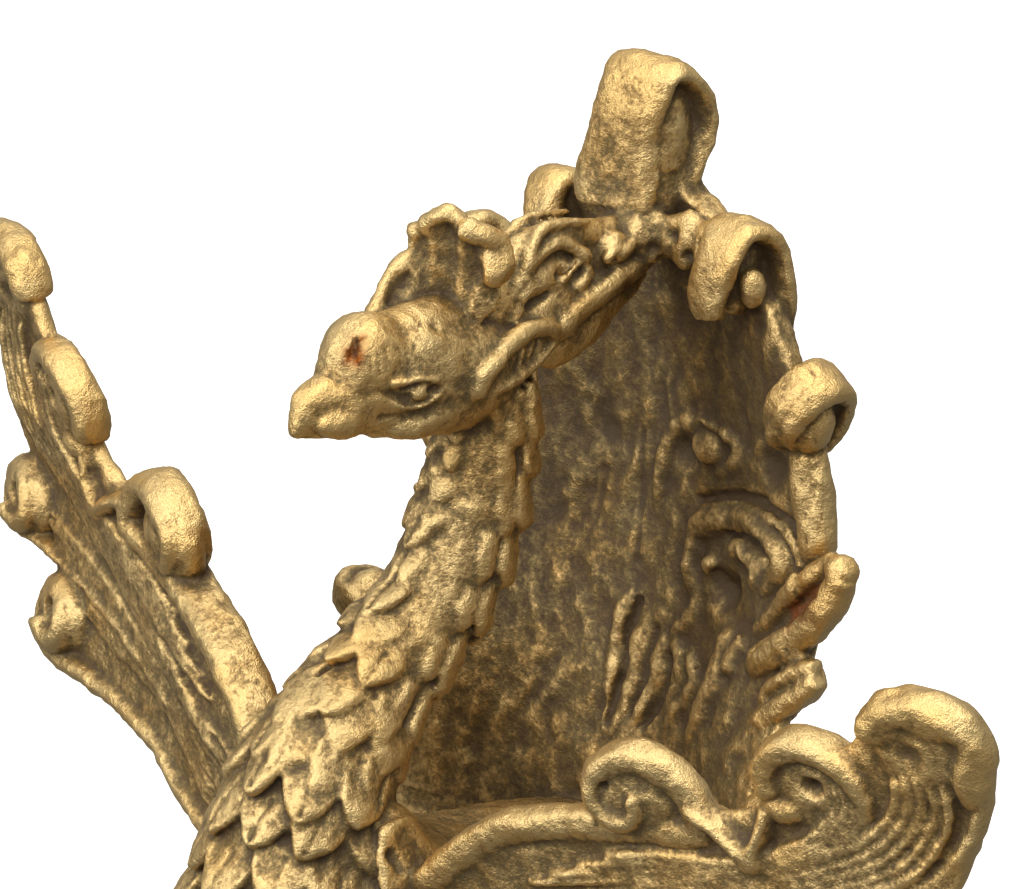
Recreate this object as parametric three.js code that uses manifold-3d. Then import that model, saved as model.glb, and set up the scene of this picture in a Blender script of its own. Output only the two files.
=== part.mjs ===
// Phoenix table figure, cast in brass in one piece: upright tail fan, spread wings, crested head, low base.
// Millimetres, +Z up. The bird faces -Y and its left wing is on +X. The origin is the middle of the underside.
import * as THREE from "three";
import { mergeVertices } from "three/addons/utils/BufferGeometryUtils.js";
import Module from "manifold-3d";

const wasm = await Module();
wasm.setup();

// Base
const BASE_HALF_WIDTH = 15;
const BASE_HALF_DEPTH = 12.5;
const BASE_HEIGHT = 3.4;
const BASE_SIDES = 24;
const BASE_BEVEL = 1.1;

// Legs, from the belly down to the base
const LEG_X = 4.6;
const LEG_TOP = [-1.5, 12.5];
const LEG_KNEE = [0.6, 8.4];
const LEG_FOOT = [-1.2, 2.6];
const THIGH_RADIUS = 3.1;
const SHANK_RADIUS = 1.7;
const TOE_LENGTH = 4.4;
const TOE_RADIUS = 0.95;

// Body stations from the rump to the breast: y, z, half width, half height
const BODY = [
  [10.6, 15.8, 1.6, 1.5],
  [8.6, 15.8, 4.2, 3.8],
  [5.0, 15.3, 6.0, 5.3],
  [0.0, 15.0, 7.2, 5.8],
  [-5.0, 15.6, 7.8, 6.3],
  [-9.5, 17.0, 7.7, 7.1],
  [-13.0, 17.8, 6.3, 6.2],
  [-15.6, 18.2, 3.9, 4.2],
  [-16.7, 18.4, 1.2, 1.4],
];
// Neck stations from the breast to the skull: y, z, radius
const NECK = [
  [-10.8, 15.6, 6.2],
  [-11.0, 19.7, 5.4],
  [-10.1, 24.2, 4.2],
  [-8.3, 27.2, 3.5],
  [-5.9, 29.9, 3.0],
  [-2.2, 33.2, 2.8],
  [0.3, 36.8, 2.6],
  [1.3, 40.6, 2.35],
  [1.7, 43.6, 2.2],
];
// Head stations from the nape to the beak: y, z, half width, half height
const HEAD = [
  [2.9, 45.6, 0.9, 0.9],
  [2.0, 45.4, 2.1, 2.1],
  [0.4, 45.3, 2.8, 2.9],
  [-1.6, 45.4, 3.1, 3.3],
  [-3.6, 45.8, 3.0, 3.3],
  [-5.6, 46.1, 2.7, 3.2],
  [-7.3, 45.9, 2.3, 2.7],
  [-8.5, 45.4, 1.8, 1.9],
  [-9.6, 45.0, 1.3, 1.25],
  [-10.5, 44.8, 0.85, 0.85],
  [-10.9, 44.8, 0.4, 0.4],
];
const FOREHEAD = { y: -6.5, z: 47.1, halfWidth: 2.5, halfDepth: 2.5, halfHeight: 2.3 };
const EYE = { x: 2.45, y: -5.4, z: 46.0, radius: 0.62 };

// Hackles: short flat plates down the back of the neck
const HACKLE_COUNT = 6;
const HACKLE_LENGTH = 3.0;
const HACKLE_WIDTH = 1.9;
const HACKLE_THICKNESS = 0.75;

// Wing: it sweeps back from the shoulder, and cups forward below its spine
const SHOULDER = new THREE.Vector3(7, -7.7, 22);
const WING_OUTWARD = new THREE.Vector3(0.956, 0.292, 0);
const WING_NORMAL = new THREE.Vector3(0.29, -0.95, -0.12);
const WING_SPINE = { height: 2, slope: 0.45 };
const WING_CUP = 0.0153;
const WING_WEB = 1.4;
const WING_RIM = 2.7;
const WING_RIM_THICKNESS = 1.3;
// Web of the wing from the shoulder out: distance outward, its lower edge, its upper edge
const WING_ROWS = [
  [-4.0, -5.6, -1.2],
  [0.0, -5.6, 1.2],
  [3.6, -5.0, 3.6],
  [7.2, -4.0, 5.2],
  [11.0, -2.2, 8.2],
  [14.6, -1.8, 8.6],
  [18.2, -2.0, 9.0],
  [21.8, -2.0, 13.4],
  [24.6, 1.0, 14.8],
  [27.2, 3.8, 17.6],
  [30.0, 6.4, 17.2],
];
// Wing plumes: points of the shaft, then the scroll it ends in
const WING_PLUMES = [
  { shaft: [[-3.6, -2.2], [1.2, 1.3], [5.4, 4.5], [9.3, 5.7]], centre: [11.8, 8.2], radius: 3.2, squash: 0.72, turn: 400 },
  { shaft: [[6, 1.8], [13, 4.6], [19, 7]], centre: [23, 12.1], radius: 3.4, squash: 0.84, turn: 400 },
  { shaft: [[6, 0], [14, 2.6], [22, 5.4], [28, 8.2]], centre: [27.8, 15.6], radius: 3.3, squash: 0.9, turn: 360 },
  { shaft: [[16, 1.2], [24, 2.6]], centre: [28.8, 5], radius: 2.3, squash: 0.95, turn: 360 },
  { shaft: [[-2, -5.4], [4, -4.9], [9, -3.4], [12, -2], [18, -2]], centre: [23, -0.4], radius: 2.3, squash: 0.95, turn: 360 },
];

// Tail fan stations from the rump up: z, y of the middle, half width, how far the sides come forward
const FAN = [
  [14.0, 8.6, 12.6, 3.0],
  [20.0, 9.8, 15.2, 4.2],
  [26.0, 11.4, 14.6, 3.8],
  [32.0, 13.0, 14.2, 2.4],
  [38.0, 13.8, 14.2, 2.6],
  [43.0, 14.0, 12.4, 2.4],
  [47.5, 13.9, 8.2, 1.4],
  [51.0, 13.6, 3.2, 0.6],
  [54.0, 13.4, 1.9, 0.2],
];
const FAN_THICKNESS = 2.0;
// Rolled plume tips round the fan: x, y, z of the roll, its radius, its width, and its lean outward in degrees
const FAN_ROLLS = [
  { x: 7.3, y: 12.0, z: 48.2, radius: 2.5, squash: 0.8, width: 2.6, lean: 15 },
  { x: 13.0, y: 11.4, z: 43.4, radius: 2.5, squash: 0.85, width: 2.4, lean: 30 },
  { x: 14.8, y: 10.6, z: 35.4, radius: 2.7, squash: 0.7, width: 2.8, lean: 50 },
  { x: 13.6, y: 10.2, z: 29.6, radius: 2.4, squash: 0.7, width: 2.4, lean: 70 },
  { x: 16.2, y: 6.2, z: 24.8, radius: 2.0, squash: 0.75, width: 2.2, lean: 80 },
];
const TOP_ROLL = { y: 11.9, z: 54.5, radius: 4.5, squash: 0.66, width: 4.4 };

// Crown on top of the skull
const CROWN_FOOT = [-1.9, 47.6];
const CROWN_TIP = [-0.3, 53.0];
const CROWN_THICKNESS = 0.8;
const CROWN_HALF_WIDTH = 2.1;
const CROWN_CUP = 1.6;

// Crest plumes from the nape to the fan: points x, y, z, and half thickness
const CREST = [
  { path: [[0, 1.2, 47.4], [0, 4.6, 49.8], [0, 8.6, 49.6], [0, 12.4, 49.2]], wide: 1.5, thick: 1.0 },
  { path: [[1.2, 1.4, 45.6], [1.4, 4.4, 46.2], [1.3, 8.2, 47.9], [0.8, 12.2, 48.9]], wide: 0.9, thick: 1.0 },
];

function solidOf(geometry) {
  const bare = geometry.clone();
  bare.deleteAttribute("normal");
  bare.deleteAttribute("uv");
  const merged = mergeVertices(bare, 1e-4);
  return new wasm.Manifold(
    new wasm.Mesh({
      numProp: 3,
      vertProperties: merged.attributes.position.array,
      triVerts: new Uint32Array(merged.index.array),
    }),
  );
}

// The same shape on the other side of the bird's middle plane.
function mirrored(geometry) {
  const other = geometry.clone().scale(-1, 1, 1);
  const index = other.index.array;
  for (let i = 0; i < index.length; i += 3) {
    const first = index[i];
    index[i] = index[i + 1];
    index[i + 1] = first;
  }
  return other;
}

// A rod whose elliptical sections follow a row of points. The half width lies along the wide direction.
function rod(points, halfWidths, halfHeights, wide, sides) {
  const last = points.length - 1;
  const geometry = new THREE.CylinderGeometry(1, 1, 1, sides, last);
  const position = geometry.attributes.position;
  const frames = points.map((point, i) => {
    const ahead = points[Math.min(i + 1, last)];
    const behind = points[Math.max(i - 1, 0)];
    const along = new THREE.Vector3().subVectors(ahead, behind).normalize();
    const across = wide.clone().addScaledVector(along, -wide.dot(along)).normalize();
    return { across, up: new THREE.Vector3().crossVectors(along, across) };
  });
  for (let i = 0; i < position.count; i += 1) {
    const ring = Math.round((0.5 - position.getY(i)) * last);
    const { across, up } = frames[ring];
    const moved = points[ring].clone();
    moved.addScaledVector(across, position.getX(i) * halfWidths[ring]);
    moved.addScaledVector(up, position.getZ(i) * halfHeights[ring]);
    position.setXYZ(i, moved.x, moved.y, moved.z);
  }
  return geometry;
}

// A plate of even thickness over the surface at(u, v), with u and v from 0 to 1.
function plate(at, across, along, thickness) {
  const geometry = new THREE.BoxGeometry(1, 1, 1, across, along, 1);
  const position = geometry.attributes.position;
  const step = 0.01;
  for (let i = 0; i < position.count; i += 1) {
    const u = position.getX(i) + 0.5;
    const v = position.getY(i) + 0.5;
    const uWay = new THREE.Vector3().subVectors(at(u + step, v), at(u - step, v));
    const vWay = new THREE.Vector3().subVectors(at(u, v + step), at(u, v - step));
    const normal = uWay.cross(vWay).normalize();
    const moved = at(u, v).addScaledVector(normal, position.getZ(i) * thickness);
    position.setXYZ(i, moved.x, moved.y, moved.z);
  }
  return geometry;
}

function ellipsoid(x, y, z, halfWidth, halfDepth, halfHeight, around, rows) {
  const ball = new THREE.SphereGeometry(1, around, rows);
  return ball.scale(halfWidth, halfDepth, halfHeight).translate(x, y, z);
}

// Points of a shaft that runs into a scroll, in two dimensions, evenly spaced along its length.
function scrollPoints(shaft, centre, radius, squash, turn, count) {
  const points = shaft.map(([a, b]) => new THREE.Vector3(a, b, 0));
  const steps = Math.round(turn / 30);
  for (let i = 0; i <= steps; i += 1) {
    const angle = THREE.MathUtils.degToRad(-70 + (turn * i) / steps);
    const size = radius * (1 - (0.6 * i) / steps);
    const a = centre[0] + size * Math.cos(angle);
    const b = centre[1] + size * squash * Math.sin(angle);
    points.push(new THREE.Vector3(a, b, 0));
  }
  return new THREE.CatmullRomCurve3(points, false, "centripetal").getPoints(count);
}

// A flat frame in space: a point goes right, up and out of it.
function planeFrame(origin, right, up) {
  const out = new THREE.Vector3().crossVectors(right, up).normalize();
  const place = (a, b, c = 0) =>
    origin.clone().addScaledVector(right, a).addScaledVector(up, b).addScaledVector(out, c);
  return { place, out };
}

const geometries = [];

function addBoth(geometry) {
  geometries.push(geometry, mirrored(geometry));
}

function stationRod(stations, wide, sides) {
  const points = stations.map(([y, z]) => new THREE.Vector3(0, y, z));
  const widths = stations.map((station) => station[2]);
  const heights = stations.map((station) => station[3] ?? station[2]);
  return rod(points, widths, heights, wide, sides);
}

function addBase() {
  const profile = [
    new THREE.Vector2(0, 0),
    new THREE.Vector2(1, 0),
    new THREE.Vector2(1, BASE_HEIGHT - BASE_BEVEL),
    new THREE.Vector2(1 - BASE_BEVEL / BASE_HALF_WIDTH, BASE_HEIGHT),
    new THREE.Vector2(0, BASE_HEIGHT),
  ];
  const base = new THREE.LatheGeometry(profile, BASE_SIDES);
  base.rotateX(Math.PI / 2).scale(BASE_HALF_WIDTH, BASE_HALF_DEPTH, 1);
  geometries.push(base);
}

function addLegs() {
  const across = new THREE.Vector3(1, 0, 0);
  const spots = [LEG_TOP, LEG_KNEE, LEG_FOOT];
  const points = spots.map(([y, z]) => new THREE.Vector3(LEG_X, y, z));
  const sizes = [THIGH_RADIUS, SHANK_RADIUS * 1.3, SHANK_RADIUS];
  addBoth(rod(points, sizes, sizes, across, 8));
  for (const swing of [-32, 0, 32]) {
    const angle = THREE.MathUtils.degToRad(swing);
    const heel = new THREE.Vector3(LEG_X, LEG_FOOT[0], BASE_HEIGHT + 0.5);
    const tip = heel.clone();
    tip.x += Math.sin(angle) * TOE_LENGTH;
    tip.y -= Math.cos(angle) * TOE_LENGTH;
    tip.z -= 0.4;
    const toe = rod([heel, tip], [TOE_RADIUS, 0.5], [TOE_RADIUS, 0.5], new THREE.Vector3(0, 0, 1), 5);
    addBoth(toe);
  }
}

function addBody() {
  const across = new THREE.Vector3(1, 0, 0);
  geometries.push(stationRod(BODY, across, 16));
  geometries.push(stationRod(NECK, across, 12));
}

function addHead() {
  geometries.push(stationRod(HEAD, new THREE.Vector3(1, 0, 0), 12));
  const { y, z, halfWidth, halfDepth, halfHeight } = FOREHEAD;
  geometries.push(ellipsoid(0, y, z, halfWidth, halfDepth, halfHeight, 10, 7));
  addBoth(ellipsoid(EYE.x, EYE.y, EYE.z, EYE.radius, EYE.radius, EYE.radius, 6, 5));
  addCrown();
  addEarLeaf();
}

// A shell that stands up behind the forehead and opens forward, with a wavy rim.
function addCrown() {
  const at = (u, v) => {
    const side = 2 * u - 1;
    const rim = 1 + 0.12 * Math.cos(side * 3 * Math.PI);
    const rise = v * (1 - 0.42 * side * side) * rim;
    const y = CROWN_FOOT[0] + (CROWN_TIP[0] - CROWN_FOOT[0]) * rise - CROWN_CUP * side * side;
    const z = CROWN_FOOT[1] + (CROWN_TIP[1] - CROWN_FOOT[1]) * rise;
    return new THREE.Vector3(-side * CROWN_HALF_WIDTH * (0.75 + 0.25 * v), y, z);
  };
  geometries.push(plate(at, 6, 3, CROWN_THICKNESS));
}

// A leaf behind the cheek: a raised rim round a sunk middle.
function addEarLeaf() {
  const rim = [
    [2.7, -1.4, 44.7],
    [2.9, -0.9, 46.2],
    [2.8, 0.8, 47.2],
    [2.3, 2.9, 47.4],
    [1.9, 4.1, 46.5],
    [2.0, 2.6, 45.4],
    [2.3, 1.0, 44.6],
  ].map(([x, y, z]) => new THREE.Vector3(x, y, z));
  const points = new THREE.CatmullRomCurve3(rim).getPoints(10);
  const sizes = points.map(() => 0.5);
  addBoth(rod(points, sizes, sizes, new THREE.Vector3(1, 0, 0), 5));
  addBoth(ellipsoid(1.7, 1.3, 46.0, 0.8, 2.4, 1.1, 7, 5));
}

function addHackles() {
  const backs = NECK.slice(2).map(([y, z, radius]) => new THREE.Vector3(0, y + radius * 0.82, z));
  const curve = new THREE.CatmullRomCurve3(backs);
  for (let i = 0; i < HACKLE_COUNT; i += 1) {
    const spot = curve.getPoint(0.16 + (0.72 * i) / (HACKLE_COUNT - 1));
    const down = curve.getTangent(0.16 + (0.72 * i) / (HACKLE_COUNT - 1)).negate();
    const end = spot.clone().addScaledVector(down, HACKLE_LENGTH * 0.5);
    end.y += 0.9;
    const start = spot.clone().addScaledVector(down, -HACKLE_LENGTH * 0.5);
    const widths = [HACKLE_WIDTH, HACKLE_WIDTH * 1.2, 0.3];
    const heights = [0.3, HACKLE_THICKNESS, 0.3];
    geometries.push(rod([start, spot, end], widths, heights, new THREE.Vector3(1, 0, 0), 6));
  }
}

function wingRow(v) {
  const spot = Math.min(Math.max(v, 0), 1) * (WING_ROWS.length - 1);
  const low = Math.min(Math.floor(spot), WING_ROWS.length - 2);
  return WING_ROWS[low].map((value, k) => THREE.MathUtils.lerp(value, WING_ROWS[low + 1][k], spot - low));
}

function addWing() {
  const right = WING_OUTWARD.clone().normalize();
  const normal = WING_NORMAL.clone().normalize();
  const up = new THREE.Vector3().crossVectors(normal, right).normalize();
  const { place, out } = planeFrame(SHOULDER, right, up);
  const cupped = (a, b) => {
    const below = Math.max(0, WING_SPINE.height + WING_SPINE.slope * a - b);
    return place(a, b).addScaledVector(normal, WING_CUP * below * below);
  };
  const web = plate((u, v) => {
    const [a, low, high] = wingRow(u);
    return cupped(a, THREE.MathUtils.lerp(low, high, Math.min(Math.max(v, 0), 1)));
  }, WING_ROWS.length - 1, 2, WING_WEB);
  addBoth(web);
  for (const { shaft, centre, radius, squash, turn } of WING_PLUMES) {
    const flat = scrollPoints(shaft, centre, radius, squash, turn, 11);
    const points = flat.map(({ x, y }) => cupped(x, y));
    const outHalf = points.map((point, i) => (WING_RIM / 2) * (i > 8 ? 0.85 : 1));
    const inHalf = points.map((point, i) => (WING_RIM_THICKNESS / 2) * (i === 0 ? 0.6 : 1));
    addBoth(rod(points, outHalf, inHalf, out, 5));
  }
}

function fanStation(v) {
  const spot = Math.min(Math.max(v, 0), 1) * (FAN.length - 1);
  const low = Math.min(Math.floor(spot), FAN.length - 2);
  const part = spot - low;
  return FAN[low].map((value, i) => value + (FAN[low + 1][i] - value) * part);
}

function addFan() {
  const at = (u, v) => {
    const side = 2 * u - 1;
    const [z, y, halfWidth, cup] = fanStation(v);
    return new THREE.Vector3(side * halfWidth, y - cup * side * side, z + (v < 0 ? v : 0));
  };
  geometries.push(plate(at, 8, 7, FAN_THICKNESS));
  for (const { x, y, z, radius, squash, width, lean } of FAN_ROLLS) {
    addBoth(rollGeometry(x, y, z, radius, squash, width, lean));
  }
  const { y, z, radius, squash, width } = TOP_ROLL;
  geometries.push(rollGeometry(0, y, z, radius, squash, width, 0));
  geometries.push(ellipsoid(0, y, z, 0.7, radius * squash * 0.9, radius * 0.9, 8, 6));
}

// A plume tip rolled forward: a spiral ribbon whose axis points outward.
function rollGeometry(x, y, z, radius, squash, width, lean) {
  const tilt = THREE.MathUtils.degToRad(lean);
  const up = new THREE.Vector3(Math.sin(tilt), 0, Math.cos(tilt));
  const forward = new THREE.Vector3(0, -1, 0);
  const { place, out } = planeFrame(new THREE.Vector3(x, y, z), forward, up);
  const points = [];
  const steps = 10;
  for (let i = 0; i <= steps; i += 1) {
    const angle = THREE.MathUtils.degToRad(230 - (420 * i) / steps);
    const size = radius * (1 - (0.6 * i) / steps);
    points.push(place(size * squash * Math.cos(angle), size * Math.sin(angle)));
  }
  const outHalf = points.map(() => width / 2);
  const inHalf = points.map(() => 0.7);
  return rod(points, outHalf, inHalf, out, 5);
}

function addCrest() {
  for (const { path, wide, thick } of CREST) {
    const curve = new THREE.CatmullRomCurve3(path.map(([x, y, z]) => new THREE.Vector3(x, y, z)));
    const points = curve.getPoints(6);
    const widths = points.map(() => wide);
    const heights = points.map(() => thick);
    const plume = rod(points, widths, heights, new THREE.Vector3(1, 0, 0), 6);
    if (path[0][0] === 0) geometries.push(plume);
    else addBoth(plume);
  }
}

addBase();
addLegs();
addBody();
addHead();
addHackles();
addWing();
addFan();
addCrest();

const whole = geometries.map(solidOf).reduce((sum, solid) => sum.add(solid));
const cast = whole.getMesh();
const figureGeometry = new THREE.BufferGeometry();
figureGeometry.setAttribute("position", new THREE.BufferAttribute(new Float32Array(cast.vertProperties), 3));
figureGeometry.setIndex(new THREE.BufferAttribute(new Uint32Array(cast.triVerts), 1));
figureGeometry.computeVertexNormals();

const brass = new THREE.MeshStandardMaterial({ color: 0x9a7f45, roughness: 0.45, metalness: 0.9 });
const figure = new THREE.Mesh(figureGeometry, brass);
figure.name = "phoenix_figure";

const group = new THREE.Group();
group.add(figure);

export default group;
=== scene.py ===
import math
import random

import bmesh
import bpy
from mathutils import Matrix, Vector, noise
from mathutils.bvhtree import BVHTree
from mathutils.kdtree import KDTree


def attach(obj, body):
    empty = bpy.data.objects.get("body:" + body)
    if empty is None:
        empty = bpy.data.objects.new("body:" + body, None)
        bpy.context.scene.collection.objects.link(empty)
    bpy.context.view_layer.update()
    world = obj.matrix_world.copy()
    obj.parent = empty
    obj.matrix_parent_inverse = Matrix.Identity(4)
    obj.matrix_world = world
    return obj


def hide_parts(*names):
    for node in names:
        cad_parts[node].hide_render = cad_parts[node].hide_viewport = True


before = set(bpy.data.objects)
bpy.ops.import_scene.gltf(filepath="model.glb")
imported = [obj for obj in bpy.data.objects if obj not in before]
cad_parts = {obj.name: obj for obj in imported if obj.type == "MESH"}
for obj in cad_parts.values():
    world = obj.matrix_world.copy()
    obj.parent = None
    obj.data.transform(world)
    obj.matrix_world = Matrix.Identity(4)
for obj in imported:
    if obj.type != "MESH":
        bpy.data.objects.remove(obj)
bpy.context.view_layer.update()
print("frame loaded")

# The figure is worked in millimetres and scaled to metres once it is finished.
# The bird faces -Y, so x above 0 is its left side, the one the camera sees.
millimetre = 0.001
sideways = Vector((1, 0, 0))
forward = Vector((0, -1, 0))
upward = Vector((0, 0, 1))
random.seed(7)
cuts = []  # engraved marks: place, radius, depth
bumps = []  # raised marks, the same way


# Curves and closed skins

def mix(a, b, t):
    return a + (b - a) * t


def clamped(value):  # kept between 0 and 1
    return min(max(value, 0.0), 1.0)


def boxy(value, square):  # a cosine or sine pushed outward, which turns a round section square
    return math.copysign(abs(value) ** square, value)


def tilted(degrees):  # a turn about the sideways axis that lifts the back
    return Matrix.Rotation(math.radians(degrees), 3, "X")


def mirrored(rows, reach):  # x times reach, so -1 gives the other side
    return [(x * reach, y, z) for x, y, z in rows]


def smoothRow(rows, t):  # a point of the soft curve through the rows, t from 0 to 1
    last = len(rows) - 1
    spot = clamped(t) * last
    i = min(int(spot), last - 1)
    f = spot - i
    near = (rows[max(i - 1, 0)], rows[i], rows[i + 1], rows[min(i + 2, last)])
    return [
        0.5 * (2 * b + (c - a) * f + (2 * a - 5 * b + 4 * c - d) * f * f + (3 * b - a - 3 * c + d) * f ** 3)
        for a, b, c, d in zip(*near)
    ]


def smoothPath(rows, count):
    return [Vector(smoothRow(rows, i / (count - 1))) for i in range(count)]


def tapered(size, count, first, last):  # first and last are what is left of the size at the ends
    sizes = []
    for i in range(count):
        t = i / (count - 1)
        part = 1.0
        if t < 0.15:
            part = mix(first, 1.0, math.sin(t / 0.15 * math.pi / 2))
        if t > 0.75:
            part = mix(last, 1.0, math.cos((t - 0.75) / 0.25 * math.pi / 2))
        sizes.append(size * part)
    return sizes


def scrollRows(shaft, centre, reach, tighten, start, turn, squash):
    # Points of a shaft, then a spiral that draws in as it turns.
    rows = [tuple(row) for row in shaft]
    steps = max(6, round(turn / 22))
    for i in range(steps + 1):
        swept = turn * i / steps
        size = reach * math.exp(-tighten * math.radians(swept))
        angle = math.radians(start + swept)
        rows.append((centre[0] + size * math.cos(angle), centre[1] + size * squash * math.sin(angle)))
    return rows


def addSkin(metal, place, rings, sides):
    # A grid rolled into a closed skin: place(turn, t, spread) gives each point, spread 0 is the closed end.
    made = bmesh.ops.create_grid(metal, x_segments=sides, y_segments=rings + 1, size=0.5)["verts"]
    for vert in made:
        row = round((vert.co.y + 0.5) * (rings + 1))
        t = min(max(row - 1, 0), rings - 1) / (rings - 1)
        vert.co = place(vert.co.x + 0.5, t, 0.0 if row in (0, rings + 1) else 1.0)
    bmesh.ops.remove_doubles(metal, verts=made, dist=0.0004)


def addRod(metal, points, widths, heights, wide, sides=8, square=1.0):
    # A rod with elliptical sections, its half widths along the wide direction.
    # A square below 1 makes its sections boxy.
    last = len(points) - 1
    widths = widths if isinstance(widths, list) else [widths] * (last + 1)
    heights = heights if isinstance(heights, list) else [heights] * (last + 1)
    frames = []
    for i, point in enumerate(points):
        along = (points[min(i + 1, last)] - points[max(i - 1, 0)]).normalized()
        across = (wide - along * wide.dot(along)).normalized()
        frames.append((point, across, along.cross(across)))

    def place(turn, t, spread):
        i = round(t * last)
        point, across, up = frames[i]
        cosine = boxy(math.cos(turn * math.tau), square)
        sine = boxy(math.sin(turn * math.tau), square)
        return point + (across * (cosine * widths[i]) + up * (sine * heights[i])) * spread

    addSkin(metal, place, last + 1, sides)


def addTapered(metal, points, width, height, ends, wide, sides=8, square=1.0):
    # A rod that thins toward its ends, which hold what is left of its size at the first and the last point.
    widths = tapered(width, len(points), *ends)
    heights = tapered(height, len(points), *ends)
    addRod(metal, points, widths, heights, wide, sides, square)


def addLoft(metal, rows, count, sides, square=1.0):
    # A rod in the middle plane, from rows of y, z, half width and half height.
    rows = [smoothRow(rows, i / (count - 1)) for i in range(count)]
    points = [Vector((0, row[0], row[1])) for row in rows]
    widths = [max(row[2], 0.2) for row in rows]
    heights = [max(row[-1], 0.2) for row in rows]
    addRod(metal, points, widths, heights, sideways, sides, square)


def addBall(metal, centre, half, turn=None):
    turned = turn.to_4x4() if turn else Matrix.Identity(4)
    shape = Matrix.Translation(centre) @ turned @ Matrix.Diagonal((*half, 1.0))
    bmesh.ops.create_icosphere(metal, subdivisions=3, radius=1.0, matrix=shape)


def engrave(points, radius, depth):
    for a, b in zip(points, points[1:]):
        steps = max(1, math.ceil((b - a).length / (radius * 0.45)))
        cuts.extend((a.lerp(b, i / steps), radius, depth) for i in range(steps + 1))


# Trunk: body and neck

trunk = {
    "body": [  # y, z, half width, half height
        (10.6, 15.0, 1.6, 1.5), (8.6, 14.8, 4.2, 3.3), (5.0, 14.4, 6.0, 4.5), (0.0, 14.4, 7.2, 5.0),
        (-5.0, 15.2, 7.8, 6.0), (-9.5, 17.0, 7.6, 7.0), (-12.8, 17.8, 6.2, 6.1), (-15.0, 18.2, 3.9, 4.2),
        (-15.8, 18.4, 1.4, 1.6),
    ],
    "neck": [  # y, z, radius
        (-10.2, 15.6, 5.7), (-10.5, 19.7, 5.2), (-9.8, 24.2, 4.3), (-8.3, 27.2, 3.35), (-5.9, 29.9, 2.8),
        (-2.3, 33.2, 2.65), (-0.1, 36.8, 2.65), (0.9, 40.6, 2.4), (1.5, 43.6, 2.25),
    ],
    "neckLength": 33.0,
    "shoulder": (3.6, -8.2, 20.6),
    "shoulderHalf": (2.3, 2.4, 4.4),
}


def neckFrame(t):
    y, z, radius = smoothRow(trunk["neck"], t)
    ahead = smoothRow(trunk["neck"], min(t + 0.02, 1.0))
    behind = smoothRow(trunk["neck"], max(t - 0.02, 0.0))
    along = Vector((0, ahead[0] - behind[0], ahead[1] - behind[1])).normalized()
    front = Vector((0, -along.z, along.y))
    return Vector((0, y, z)), radius, along, front


def addTrunk(metal):
    addLoft(metal, trunk["body"], 24, 28)
    addLoft(metal, trunk["neck"], 36, 28)
    x, y, z = trunk["shoulder"]
    for sign in (1, -1):
        addBall(metal, (x * sign, y, z), trunk["shoulderHalf"])


# Feathers of the neck and breast

feather = {
    "width": (1.25, 3.5),  # under the jaw, then on the breast
    "rise": (0.24, 0.9),
    "reach": (16, 108),  # degrees round from the front, high and low on the neck
    "outline": [  # along, lift, part of the half width, half thickness
        (-0.50, -1.0, 0.55, 0.26), (-0.25, -0.6, 0.85, 0.36), (0.0, -0.15, 1.0, 0.44),
        (0.22, 0.25, 0.96, 0.46), (0.42, 0.6, 0.76, 0.42), (0.58, 0.82, 0.46, 0.34), (0.69, 0.92, 0.14, 0.24),
    ],
    "edge": [(-0.02, 0.46), (0.20, 0.43), (0.40, 0.30), (0.56, 0.14), (0.66, 0.0)],  # along, across
    "edgedFrom": 1.9,  # wider feathers than this have a raised lip
    "scoredFrom": 1.7,  # and wider ones than this are scored
    "skinReach": 14,  # from where the skin is looked for
}

hackle = {
    "columns": [  # degrees from the front, half width and push
        (84, 0.62, 0.05), (114, 0.9, 0.3), (150, 0.8, 0.15),
    ],
    "length": 3.2,
    "span": (0.37, 0.96),  # part of the neck they cover
    "farTop": 0.68,  # on the far side they stop lower
    "step": 0.078,
    "outline": [  # part of the length along, out, back, part of the half width, half thickness
        (0.5, -0.3, 0.0, 0.5, 0.26), (0.15, -0.02, 0.0, 0.9, 0.34), (-0.2, 0.14, 0.12, 1.0, 0.36),
        (-0.42, 0.22, 0.34, 0.78, 0.33), (-0.56, 0.08, 0.2, 0.24, 0.2),
    ],
}


def addFeather(metal, root, down, out, length, width, rise):
    # One overlapping feather: a pointed leaf that climbs away from the skin.
    side = down.cross(out).normalized()
    shape = feather["outline"]
    points = [root + down * (length * along) + out * (rise * lift) for along, lift, _, _ in shape]
    widths = [width * 0.52 * part for _, _, part, _ in shape]
    heights = [thick for _, _, _, thick in shape]
    addRod(metal, points, widths, heights, side, 10, 0.85)
    if width > feather["edgedFrom"]:
        edge = feather["edge"] + [(along, -across) for along, across in reversed(feather["edge"][:-1])]
        line = []
        for along, across in edge:
            lift = out * (rise * (0.02 + 1.45 * along) + 0.13)
            line.append(root + down * (length * along) + side * (width * across) + lift)
        addTapered(metal, smoothPath(line, 15), 0.05 * width + 0.04, 0.16, (0.4, 0.4), side, 6)
    return points


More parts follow.
